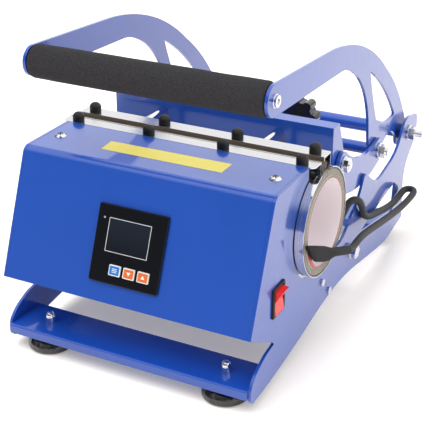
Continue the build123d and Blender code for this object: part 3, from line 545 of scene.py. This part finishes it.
def refined(node, edge, segments):
    """A copy of a frame node's mesh, merged, flat areas joined, its sharp edges rounded."""
    mesh = frame["nodes"][node].data.copy()
    bm = bmesh.new()
    bm.from_mesh(mesh)
    bmesh.ops.remove_doubles(bm, verts=bm.verts, dist=MERGE)
    bmesh.ops.dissolve_limit(bm, angle_limit=radians(FLAT_ANGLE), verts=bm.verts, edges=bm.edges,
                             delimit=set())
    bm.to_mesh(mesh)
    bm.free()
    smoothed(mesh)
    made = bpy.data.objects.new(f"{node}_work", mesh)
    bpy.context.scene.collection.objects.link(made)
    if edge > 0:
        bevel = made.modifiers.new("edge", "BEVEL")
        bevel.width = edge * MM
        bevel.segments = segments
        bevel.limit_method = "ANGLE"
        bevel.angle_limit = radians(SHARP_ANGLE)
        bevel.harden_normals = True
        bevel.miter_outer = "MITER_ARC"
    weigh = made.modifiers.new("flat", "WEIGHTED_NORMAL")
    weigh.keep_sharp = True
    weigh.weight = FLAT_WEIGHT
    result = baked(made)
    result.name = f"{node}_skin"
    return result


def body_of(node):
    """The body that carries a frame node."""
    for name, members in frame["record"]["behaviour"]["bodies"].items():
        if node in members:
            return name
    raise RuntimeError(f"no body holds {node}")


# Frame nodes that share a finish
SHEET_NODES = ("left_side_plate", "right_side_plate", "front_tray", "rear_tray", "front_housing",
               "housing_back_cover", "cross_brace", "pressure_channel", "left_arm", "right_arm",
               "left_link", "right_link")
TUBE_NODES = ("tie_tube", "upper_cross_tube", "lower_cross_tube", "pivot_spacers")
CHROME_NODES = ("foot_studs_and_dome_nuts", "panel_screws", "tie_bolts", "guide_rods_and_nuts",
                "rod_sleeves", "handle_studs", "handle_nuts", "toe_bolts_and_nuts", "grip_bolts")
ZINC_NODES = ("housing_brackets", "front_cap_studs", "rear_cap_studs", "grip_tube")


def dress(nodes, material, edge, segments=2):
    """Finishes frame nodes: a copy with its edges rounded, in millimetres, stands for each."""
    for node in nodes:
        piece(f"{node}_skin", refined(node, edge, segments), material, body_of(node),
              (node,))


class PRESS_OT_metal(bpy.types.Operator):
    """Finish the sheet metal, tubes and fasteners"""
    bl_idname = "press.metal"
    bl_label = "Metal"

    def execute(self, context):
        blue = powder_coat()
        dress(SHEET_NODES, blue, context.scene.press_sizes.edge)
        dress(TUBE_NODES, blue, edge=0.3)
        dress(CHROME_NODES, chrome(), edge=0.35)
        dress(ZINC_NODES, zinc(), edge=0.2)
        dress(("front_mat_shell", "rear_mat_shell"), bright_steel(), edge=0.2)
        dress(("front_end_bands", "rear_end_bands"), band_steel(), edge=0.15)
        return {"FINISHED"}


class PRESS_OT_mouldings(bpy.types.Operator):
    """Finish the feet, caps, knobs, controller, switch and inlet"""
    bl_idname = "press.mouldings"
    bl_label = "Mouldings"

    def execute(self, context):
        dress(("front_rubber_caps", "rear_rubber_caps", "cord_grommet"), rubber(), edge=0.4, segments=3)
        dress(("rubber_feet",), cup_rubber(), edge=0.4, segments=3)
        dress(("power_inlet", "rocker_switch_body", "controller_case", "display_module"),
              moulded_black(), edge=0.4)
        dress(("left_pressure_knob", "right_pressure_knob"), knob_black(), edge=1.2, segments=4)
        dress(("controller_bezel",), gloss_black(), edge=0.3)
        dress(("display_window",), display_glass(), edge=0.15)
        dress(("set_button", "down_button", "up_button"),
              gloss_plastic("key_rim", (0.86, 0.86, 0.86)), edge=0.15)
        dress(("rocker",), red_rocker(), edge=0.5, segments=3)
        dress(("control_board",), circuit(), edge=0.0)
        return {"FINISHED"}


class PRESS_OT_mat(bpy.types.Operator):
    """Finish the heating mat's layers"""
    bl_idname = "press.mat"
    bl_label = "Mat"

    def execute(self, context):
        dress(("front_mat_insulation", "rear_mat_insulation"), felt(), edge=0.5)
        dress(("front_mat_liner", "rear_mat_liner"), silicone_liner(), edge=0.3)
        dress(("front_mat_flap", "rear_mat_flap"), brown_silicone(), edge=0.5)
        return {"FINISHED"}


def tube_rings(rings, close=True):
    """A tube through rings of points, as a bmesh, with UVs round it and along it in metres."""
    sides = len(rings[0])
    bm = bmesh.new()
    layer = bm.loops.layers.uv.new("cord")
    rows = [[bm.verts.new(p) for p in ring] for ring in rings]
    along = [0.0]
    for before, after in zip(rings, rings[1:]):
        step = sum(((a - b).length for a, b in zip(before, after)), 0.0) / len(before)
        along.append(along[-1] + step)
    for j in range(len(rows) - 1):
        for i in range(sides):
            k = (i + 1) % sides
            face = bm.faces.new((rows[j][i], rows[j][k], rows[j + 1][k], rows[j + 1][i]))
            corners = ((i, j), (i + 1, j), (i + 1, j + 1), (i, j + 1))
            for loop, (a, b) in zip(face.loops, corners):
                loop[layer].uv = (a / sides, along[b])
    if close:
        bm.faces.new(list(reversed(rows[0])))
        bm.faces.new(rows[-1])
    bmesh.ops.recalc_face_normals(bm, faces=bm.faces)
    return bm


def plates(name, pairs, material, body):
    """A piece made of flat plates, each the solid between two outlines of as many points."""
    bm = bmesh.new()
    for outlines in pairs:
        low, high = ([bm.verts.new(point) for point in outline] for outline in outlines)
        bm.faces.new(high)
        bm.faces.new(list(reversed(low)))
        for i in range(len(low)):
            k = (i + 1) % len(low)
            bm.faces.new((low[i], low[k], high[k], high[i]))
    bmesh.ops.recalc_face_normals(bm, faces=bm.faces)
    return piece(name, finished_mesh(name, bm), material, body)


# The tape at the mat's right end: its outline, its gap to the end and its thickness
TAPE = ((98.6, 126.4), (104.0, 124.6), (104.9, 115.5), (108.6, 111.6), (111.9, 105.9), (117.6, 99.1),
        (121.0, 95.8), (119.0, 94.2), (114.6, 97.6), (108.8, 104.4), (104.6, 109.6), (100.9, 115.5))
TAPE_GAP = 0.05
TAPE_T = 0.25


class PRESS_OT_tape(bpy.types.Operator):
    """Lay the red tape that seals the mat's end under the boot"""
    bl_idname = "press.tape"
    bl_label = "Red tape"

    def execute(self, context):
        inner = MAT_END + TAPE_GAP
        sides = [[at(x, back, up) for back, up in TAPE] for x in (inner, inner + TAPE_T)]
        tape = gloss_plastic("red_tape", (0.60, 0.045, 0.03), 0.4)
        plates("red_tape", [sides], tape, "base")
        return {"FINISHED"}


# The foam grip, in millimetres
GRIP_BORE_R = 11.2
GRIP_END = 4.0            # rounding of the foam's ends
GRIP_MOUTH = 0.4          # how far the bore's edge lies inside the end
GRIP_SKIN_R = 13.44       # outside this the skin is uneven
GRIP_SWELLS = ((0.12, 61.0, 0.0), (0.10, 143.0, 1.0))  # height, radians per metre, start
GRIP_DENT = (0.10, 37.0)  # height, radians per metre
GRIP_SIDES = 64
GRIP_STATIONS = 90
END_STEPS = 8


def grip_ring(centre, x, r, radius):
    """One ring of the foam, its skin slightly uneven and nowhere past the grip's radius."""
    swell = sum(height * sin(x * rate + start) for height, rate, start in GRIP_SWELLS)
    ring = []
    for i in range(GRIP_SIDES):
        turn = tau * i / GRIP_SIDES
        out = r
        if r > GRIP_SKIN_R * MM:
            dent = GRIP_DENT[0] * sin(2 * turn + x * GRIP_DENT[1])
            out = min(r + (swell + dent) * MM, radius)
        ring.append(centre + Vector((x, cos(turn) * out, sin(turn) * out)))
    return ring


class PRESS_OT_grip(bpy.types.Operator):
    """Build the foam grip: soft ends and a slightly uneven skin"""
    bl_idname = "press.grip"
    bl_label = "Foam grip"

    def execute(self, context):
        low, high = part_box("foam_grip")
        centre = (low + high) / 2
        radius = (high.z - low.z) / 2
        half = (high.x - low.x) / 2
        soft = GRIP_END * MM
        left = [(-half + GRIP_MOUTH * MM, GRIP_BORE_R * MM)]
        for i in range(END_STEPS, -1, -1):
            turn = pi / 2 * i / END_STEPS
            left.append((-half + soft * (1 - sin(turn)), radius - soft * (1 - cos(turn))))
        middle = [(-half + soft + (2 * half - 2 * soft) * i / GRIP_STATIONS, radius)
                  for i in range(1, GRIP_STATIONS)]
        right = [(-x, r) for x, r in reversed(left)]
        rings = [grip_ring(centre, x, r, radius) for x, r in left + middle + right]
        mesh = finished_mesh("foam_grip_skin", tube_rings(rings, close=False))
        grip = piece("foam_grip_skin", smoothed(mesh, angle=60), foam(), body_of("foam_grip"),
                     ("foam_grip",))
        return {"FINISHED"}


# The heater cord's route: across, back from the front edge and up, in millimetres
CORD_ROUTE = [
    (144.1, 197.0, 78.6), (144.1, 208.0, 74.6), (144.1, 232.0, 77.4), (143.8, 262.0, 72.4),
    (143.6, 323.0, 60.1), (145.0, 360.0, 55.6), (147.6, 386.0, 57.0), (148.0, 404.8, 58.6),
    (144.0, 408.8, 59.6), (138.4, 408.8, 59.2), (134.4, 404.8, 57.8), (134.4, 380.0, 55.4),
    (134.4, 350.0, 59.4), (134.4, 318.0, 67.4), (134.4, 285.0, 75.4), (134.6, 267.0, 85.0),
    (135.4, 257.5, 100.5), (132.2, 252.0, 109.4), (125.6, 246.5, 108.2), (121.4, 241.0, 96.5),
    (118.0, 233.0, 84.0), (115.4, 220.0, 75.3), (111.5, 194.0, 69.4), (108.0, 155.0, 67.6),
    (105.0, 120.0, 66.0), (105.0, 86.1, 66.0),
]
ROUTE_STEPS = 14          # points of the curve to each control
DOUBLED = 0.2             # points nearer than this are one, in millimetres


def spline_points(route):
    """Points along the smooth curve that has the route's points as its controls."""
    curve = bpy.data.curves.new("route", "CURVE")
    curve.dimensions = "3D"
    curve.resolution_u = ROUTE_STEPS
    spline = curve.splines.new("NURBS")
    spline.points.add(len(route) - 1)
    for point, place in zip(spline.points, route):
        point.co = (*place, 1.0)
    spline.order_u = 3
    spline.use_endpoint_u = True
    holder = bpy.data.objects.new("route", curve)
    bpy.context.scene.collection.objects.link(holder)
    mesh = baked(holder)
    points = []
    for vertex in mesh.vertices:
        if not points or (vertex.co - points[-1]).length > DOUBLED * MM:
            points.append(vertex.co.copy())
    bpy.data.meshes.remove(mesh)
    return points


def swept(points, radius, sides):
    """Rings of a round tube along points, carried without twist."""
    rings = []
    normal = None
    for i, point in enumerate(points):
        ahead = points[min(i + 1, len(points) - 1)] - points[max(i - 1, 0)]
        ahead.normalize()
        if normal is None:
            normal = ahead.orthogonal().normalized()
        normal = (normal - ahead * normal.dot(ahead)).normalized()
        side = ahead.cross(normal)
        rings.append([point + (normal * cos(tau * k / sides) + side * sin(tau * k / sides)) * radius
                      for k in range(sides)])
    return rings


class PRESS_OT_cord(bpy.types.Operator):
    """Build the heater cord and its boot at the mat's end"""
    bl_idname = "press.cord"
    bl_label = "Heater cord"

    def execute(self, context):
        sizes = context.scene.press_sizes
        route = [at(*p) for p in CORD_ROUTE]
        points = spline_points(route)
        rings = swept(points, sizes.cord_radius * MM, sizes.cord_sides)
        mesh = finished_mesh("heater_cord_tube", tube_rings(rings))
        cord = piece("heater_cord_tube", smoothed(mesh, angle=70), braided_sleeve(), "base",
                     ("heater_cord",))
        boot = piece("cord_boot_skin", boot_mesh(), boot_silicone(), "base", ("cord_boot",))
        return {"FINISHED"}


# The boot from the mat to its sleeve's end: share of its length, half its width and depth, slant of the
# ring, and shift across, in millimetres
BOOT = (
    (0.00, 4.6, 1.9, 7.0, 0.0), (0.01, 5.2, 2.3, 7.0, 0.0), (0.17, 7.6, 2.35, 3.0, -2.4),
    (0.36, 7.5, 2.4, 0.0, -2.8), (0.48, 6.3, 2.8, 0.0, -2.8), (0.56, 4.9, 3.4, 0.0, -2.0),
    (0.62, 4.5, 4.0, 0.0, -1.2), (0.64, 4.2, 3.9, 0.0, -1.1), (0.70, 4.5, 4.2, 0.0, -0.9),
    (0.72, 4.2, 4.0, 0.0, -0.8), (0.78, 4.5, 4.2, 0.0, -0.6), (0.80, 4.2, 4.0, 0.0, -0.5),
    (0.86, 4.5, 4.2, 0.0, -0.3), (0.88, 4.2, 4.0, 0.0, -0.3), (0.97, 4.4, 4.2, 0.0, 0.0),
    (1.00, 4.0, 3.9, 0.0, 0.0),
)
BOOT_ENDS = ((142.1, 95.5, 124.0), (144.1, 197.6, 78.4))
BOOT_SIDES = 32
TONGUE = 0.5              # share of the boot's length that is the flat tongue
TONGUE_SQUARE = 0.45      # power that squares the tongue's section


def boot_mesh():
    """The boot: a flat tongue at the mat's end that draws in to a ribbed round sleeve over the cord."""
    start, end = (at(*place) for place in BOOT_ENDS)
    ahead = (end - start).normalized()
    wide = ACROSS.cross(ahead).normalized()
    deep = ahead.cross(wide)
    rings = []
    for part, half_wide, half_deep, slant, shift in BOOT:
        centre = start.lerp(end, part) + wide * (shift * MM)
        centre.x = start.x + (end.x - start.x) * min(1.0, part / TONGUE)
        square = TONGUE_SQUARE if part < TONGUE else 1.0
        ring = []
        for i in range(BOOT_SIDES):
            turn = tau * i / BOOT_SIDES
            c, s = cos(turn), sin(turn)
            across = abs(c) ** square * (1 if c > 0 else -1)
            through = abs(s) ** square * (1 if s > 0 else -1) * half_deep
            out = wide * (across * half_wide) + deep * through - ahead * (across * slant)
            ring.append(centre + out * MM)
        rings.append(ring)
    return smoothed(finished_mesh("cord_boot_skin", tube_rings(rings)), angle=50)


def plate_on_face(centre, outline, proud, thick):
    """The two outlines of a thin plate on the controller's face, drawn round a point of the face."""
    return [[on_face(centre[0] + x, centre[1] + y, up) for x, y in outline]
            for up in (proud, proud + thick)]


def rectangle(half_x, half_y):
    """The corners of a rectangle, from its half width and half height."""
    return [(-half_x, -half_y), (half_x, -half_y), (half_x, half_y), (-half_x, half_y)]


def frame_on_face(centre, size, line, proud, thick):
    """A thin rectangular frame on the controller's face, from its inner size and its line's width."""
    bm = bmesh.new()
    rings = []
    for grow, up in ((0, 0), (line, 0), (line, thick), (0, thick)):
        half_x, half_y = size[0] / 2 + grow, size[1] / 2 + grow
        rings.append([bm.verts.new(on_face(centre[0] + x, centre[1] + y, proud + up))
                      for x, y in rectangle(half_x, half_y)])
    for a, b in zip(rings, rings[1:] + rings[:1]):
        for i in range(4):
            k = (i + 1) % 4
            bm.faces.new((a[i], a[k], b[k], b[i]))
    bmesh.ops.recalc_face_normals(bm, faces=bm.faces)
    return bm


# The controller's face: places and outlines across it and up it, and heights from it, in millimetres
WINDOW_AT = (-1.5, 8.8)
DISPLAY = (42.9, 30.1)    # size of the display, inside the line round it
DISPLAY_LINE = 0.42
DISPLAY_DEEP = -0.19      # the line lies on the window, below the bezel's face
KEYS = {"set_key": (-9.5, -22.5), "down_key": (5.25, -22.5), "up_key": (20.0, -22.5)}
KEY_PROUD = 0.9
KEY_INSET = (5.0, 4.0)    # half the size of the coloured plate in each key
INSET_SUNK = 0.05
INSET_T = 0.07
ARROWS = {"down_key": ((-2.08, 1.52), (2.08, 1.52), (0.0, -1.84)),
          "up_key": ((-2.08, -1.52), (2.08, -1.52), (0.0, 1.84))}
BARS = (-1.5, 0.0, 1.5)
BAR = (2.6, 0.3)          # half the size of each bar
BAR_T = 0.05
INK_T = 0.06
LAMP_AT = (-28.4, 23.4)
LAMP_R = 1.0
LAMP_T = 0.35
LAMP_SIDES = 20


class PRESS_OT_controller(bpy.types.Operator):
    """Add the controller's line round the display, its keys' insets and marks, and its lamp"""
    bl_idname = "press.controller"
    bl_label = "Controller face"

    def execute(self, context):
        white = print_and_painted_shade("white_print", (0.90, 0.91, 0.92))
        line = frame_on_face(WINDOW_AT, DISPLAY, DISPLAY_LINE, DISPLAY_DEEP, INK_T)
        piece("display_line", finished_mesh("display_line", line), white, "base")
        blue = gloss_plastic("blue_key", (0.02, 0.20, 0.66))
        orange = gloss_plastic("orange_key", (0.76, 0.17, 0.04))
        for body, place in KEYS.items():
            ink, slot = (blue, "blue_button") if body == "set_key" else (orange, "orange_button")
            inset = plate_on_face(place, rectangle(*KEY_INSET), KEY_PROUD - INSET_SUNK, INSET_T)
            plates(f"{body}_inset", [inset], ink, body)
        for body, outline in ARROWS.items():
            arrow = plate_on_face(KEYS[body], outline, KEY_PROUD, INK_T)
            plates(f"{body}_arrow", [arrow], white, body)
        x, y = KEYS["set_key"]
        bars = [plate_on_face((x, y + rise), rectangle(*BAR), KEY_PROUD, BAR_T) for rise in BARS]
        plates("set_key_bars", bars, white, "set_key")
        turns = [tau * i / LAMP_SIDES for i in range(LAMP_SIDES)]
        disc = [(LAMP_R * cos(turn), LAMP_R * sin(turn)) for turn in turns]
        lens = gloss_plastic("lamp_lens", (0.42, 0.41, 0.46), 0.15)
        plates("lamp", [plate_on_face(LAMP_AT, disc, 0.0, LAMP_T)], lens, "base")
        return {"FINISHED"}


# The strip's corners, across and back, and its two faces above the housing's top
STRIP_CORNERS = ((-60.6, 73.0), (64.7, 73.6), (64.7, 95.4), (-62.2, 93.6))
STRIP_FACES = (0.01, 0.16)


class PRESS_OT_strip(bpy.types.Operator):
    """Lay the plain strip on the housing's top"""
    bl_idname = "press.strip"
    bl_label = "Plain strip"

    def execute(self, context):
        faces = [[at(x, back, BEND[1] + up) for x, back in STRIP_CORNERS] for up in STRIP_FACES]
        plates("plain_strip", [faces], plain_strip(), "base")
        return {"FINISHED"}


TOP_SCREWS = ((-112.9, 83.4), (112.9, 83.4))
SCREW_TOP = 197.3
CROSS = ((-2.7, -0.75), (-0.75, -0.75), (-0.75, -2.7), (0.75, -2.7), (0.75, -0.75), (2.7, -0.75),
         (2.7, 0.75), (0.75, 0.75), (0.75, 2.7), (-0.75, 2.7), (-0.75, 0.75), (-2.7, 0.75))
CROSS_TURN = 0.5          # in radians
CROSS_FACES = (-0.7, 0.03)  # bottom and top, from the screw's top


class PRESS_OT_recesses(bpy.types.Operator):
    """Paint the shade in the cross recess of each screw on the housing's top: a dark cross plate where the
    recess lies
    """
    bl_idname = "press.recesses"
    bl_label = "Screw recesses"

    def execute(self, context):
        c, s = cos(CROSS_TURN), sin(CROSS_TURN)
        turned = [(a * c - b * s, a * s + b * c) for a, b in CROSS]
        crosses = [[[at(x + a, back + b, SCREW_TOP + up) for a, b in turned] for up in CROSS_FACES]
                   for x, back in TOP_SCREWS]
        # Painted shade: each dark cross plate stands in for the shade inside a screw's cross recess.
        dark = print_and_painted_shade("recess_painted_shade", (0.02, 0.02, 0.022), 0.6)
        plates("screw_recess_shade", crosses, dark, "base")
        return {"FINISHED"}


RING_SIDES = 32           # sides of a thread's ring, and of the section of its crest
CREST_SIDES = 6


def thread_tree():
    """A geometry tree that sets rings along X, which stand for a stud's thread."""
    group = bpy.data.node_groups.new("stud_thread", "GeometryNodeTree")
    inputs = (("Count", "NodeSocketInt"), ("Pitch", "NodeSocketFloat"), ("Radius", "NodeSocketFloat"),
              ("Crest", "NodeSocketFloat"), ("Material", "NodeSocketMaterial"))
    for name, kind in inputs:
        group.interface.new_socket(name, in_out="INPUT", socket_type=kind)
    group.interface.new_socket("Geometry", in_out="OUTPUT", socket_type="NodeSocketGeometry")
    tree = Tree(group)
    source = tree.node("NodeGroupInput")
    offset = tree.node("ShaderNodeCombineXYZ", {}, {"X": source.out("Pitch")})
    line = tree.node("GeometryNodeMeshLine", {}, {"Count": source.out("Count"), "Offset": offset.out(0)})
    ring = tree.node("GeometryNodeCurvePrimitiveCircle", {},
                     {"Resolution": RING_SIDES, "Radius": source.out("Radius")})
    crest = tree.node("GeometryNodeCurvePrimitiveCircle", {},
                      {"Resolution": CREST_SIDES, "Radius": source.out("Crest")})
    sweep = tree.node("GeometryNodeCurveToMesh", {},
                      {"Curve": ring.out("Curve"), "Profile Curve": crest.out("Curve")})
    spread = tree.node("GeometryNodeInstanceOnPoints", {},
                       {"Points": line.out("Mesh"), "Instance": sweep.out("Mesh"),
                        "Rotation": (0.0, pi / 2, 0.0)})
    real = tree.node("GeometryNodeRealizeInstances", {}, {"Geometry": spread.out("Instances")})
    coat = tree.node("GeometryNodeSetMaterial", {},
                     {"Geometry": real.out("Geometry"), "Material": source.out("Material")})
    tree.node("NodeGroupOutput", {}, {"Geometry": coat.out("Geometry")})
    return group


# Each thread: its stud's place, its two ends across and its body
THREADS = {"pivot": (PIVOT, 139.2, 146.6, "handle"), "knee": (KNEE, 134.8, 137.0, "handle"),
           "toe": (TOE, 132.6, 133.2, "jaw")}
THREAD_R = 3.95
CREST_R = 0.42


class PRESS_OT_threads(bpy.types.Operator):
    """Add the thread that shows on each stud outside its nut"""
    bl_idname = "press.threads"
    bl_label = "Threads"

    def execute(self, context):
        tree = thread_tree()
        metal = chrome()
        pitch = context.scene.press_sizes.thread_pitch
        keys = {s.name: s.identifier for s in tree.interface.items_tree if s.in_out == "INPUT"}
        for name, (place, start, end, body) in THREADS.items():
            joined = bmesh.new()
            for sign in (-1, 1):
                holder = bpy.data.objects.new("thread", bpy.data.meshes.new("thread"))
                bpy.context.scene.collection.objects.link(holder)
                grow = holder.modifiers.new("thread", "NODES")
                grow.node_group = tree
                grow[keys["Count"]] = int((end - start) / pitch) + 1
                grow[keys["Pitch"]] = sign * pitch * MM
                grow[keys["Radius"]] = THREAD_R * MM
                grow[keys["Crest"]] = CREST_R * MM
                grow[keys["Material"]] = metal
                mesh = baked(holder)
                mesh.transform(Matrix.Translation(at(sign * start, *place)))
                joined.from_mesh(mesh)
                bpy.data.meshes.remove(mesh)
            mesh = finished_mesh(f"{name}_thread", joined)
            piece(f"{name}_thread", smoothed(mesh, angle=50), metal, body)
        return {"FINISHED"}


# The stage: places in metres, angles in degrees, the lens and its sensor in millimetres
LIGHT_WAY = (0.35, 0.45, -1.0)
LIGHT_SPREAD = 50.0
LEAN = 0.7                # how far the bright side leans to the right
BRIGHT_BEHIND = (-0.25, 0.45)  # dim up to the first, bright from the second
BRIGHT_ABOVE = (0.45, 0.85)
FLOOR_REACH = 6.0
FLOOR_Z = -0.0006         # just under the feet
LENS = 94.67
SENSOR = 36.0
NEAR = 0.05
FAR = 50.0
EYE = (0.4696, -0.9676, 0.5908)
EYE_TILT = 64.44
EYE_TURN = 27.0


def overhead(name, direction, strength, spread):
    """A wide even light from far away, shining along a direction."""
    light = bpy.data.lights.new(name, "SUN")
    light.energy = strength
    light.angle = radians(spread)
    lamp = bpy.data.objects.new(name, light)
    bpy.context.scene.collection.objects.link(lamp)
    lamp.rotation_euler = direction.to_track_quat("-Z", "Y").to_euler()
    lamp.visible_glossy = False


def floor_finish():
    """White floor that lifts its own shadows a little for the camera."""
    f = Finish("studio_floor", (0.95, 0.90, 0.85), 0.7, Specular_IOR_Level=0.1)
    f.set("Emission Color", (1.0, 0.97, 0.94))
    f.set("Emission Strength", f.node("ShaderNodeLightPath").out("Is Camera Ray") * 0.14 + 0.12)
    return f.material


def surroundings(stage):
    """White behind the press for the camera; for the light, bright behind and above and dim in front."""
    world = bpy.data.worlds.new("white_studio")
    world.use_nodes = True
    world.node_tree.nodes.clear()
    tree = Tree(world.node_tree)
    x, y, z = tree.axes(tree.node("ShaderNodeTexCoord").out("Generated"))
    behind = (x * LEAN + y).smooth(*BRIGHT_BEHIND, stage.dim, stage.ambient)
    above = z.smooth(*BRIGHT_ABOVE, 0.0, stage.ambient)
    seen = tree.node("ShaderNodeLightPath")
    plain = seen.out("Is Camera Ray").larger(seen.out("Is Transmission Ray"))
    strength = behind.larger(above).larger(plain)
    light = tree.node("ShaderNodeBackground", {}, {"Color": (1.0, 1.0, 1.0), "Strength": strength})
    tree.node("ShaderNodeOutputWorld", {}, {"Surface": light.out(0)})
    return world


class PRESS_OT_stage(bpy.types.Operator):
    """Set the floor, the light, the white surroundings and the camera"""
    bl_idname = "press.stage"
    bl_label = "Stage"

    def execute(self, context):
        stage = context.scene.press_stage
        bm = bmesh.new()
        bm.faces.new([bm.verts.new((x, y, FLOOR_Z)) for x, y in rectangle(FLOOR_REACH, FLOOR_REACH)])
        floor = bpy.data.objects.new("studio_floor", finished_mesh("studio_floor", bm))
        context.scene.collection.objects.link(floor)
        floor.data.materials.append(floor_finish())
        overhead("key", Vector(LIGHT_WAY), stage.key, LIGHT_SPREAD)
        context.scene.world = surroundings(stage)
        context.scene.view_settings.view_transform = "Standard"
        eye = bpy.data.cameras.new("view")
        eye.lens = LENS
        eye.sensor_width = SENSOR
        eye.clip_start = NEAR
        eye.clip_end = FAR
        camera = bpy.data.objects.new("view", eye)
        context.scene.collection.objects.link(camera)
        camera.location = EYE
        camera.rotation_euler = (radians(EYE_TILT), 0.0, radians(EYE_TURN))
        context.scene.camera = camera
        return {"FINISHED"}


class PRESS_PT_panel(bpy.types.Panel):
    """Steps that finish the heat press"""
    bl_idname = "PRESS_PT_panel"
    bl_label = "Heat press"
    bl_space_type = "VIEW_3D"
    bl_region_type = "UI"
    bl_category = "Heat press"

    def draw(self, context):
        for step in STEPS:
            self.layout.operator(step.bl_idname)
        for group in (context.scene.press_colours, context.scene.press_sizes, context.scene.press_stage):
            for key in group.__annotations__:
                self.layout.prop(group, key)


STEPS = (PRESS_OT_stage, PRESS_OT_cord, PRESS_OT_metal, PRESS_OT_mouldings, PRESS_OT_mat, PRESS_OT_grip,
         PRESS_OT_controller, PRESS_OT_strip, PRESS_OT_threads, PRESS_OT_tape, PRESS_OT_recesses)
GROUPS = {"press_colours": PressColours, "press_sizes": PressSizes, "press_stage": PressStage}


def register():
    for group in GROUPS.values():
        bpy.utils.register_class(group)
    for name, group in GROUPS.items():
        setattr(bpy.types.Scene, name, bpy.props.PointerProperty(type=group))
    for step in STEPS:
        bpy.utils.register_class(step)
    bpy.utils.register_class(PRESS_PT_panel)


def unregister():
    bpy.utils.unregister_class(PRESS_PT_panel)
    for step in reversed(STEPS):
        bpy.utils.unregister_class(step)
    for name, group in GROUPS.items():
        delattr(bpy.types.Scene, name)
        bpy.utils.unregister_class(group)


def main():
    """Runs every step."""
    register()
    for step in STEPS:
        area, name = step.bl_idname.split(".")
        getattr(getattr(bpy.ops, area), name)()


if __name__ == "__main__":
    main()
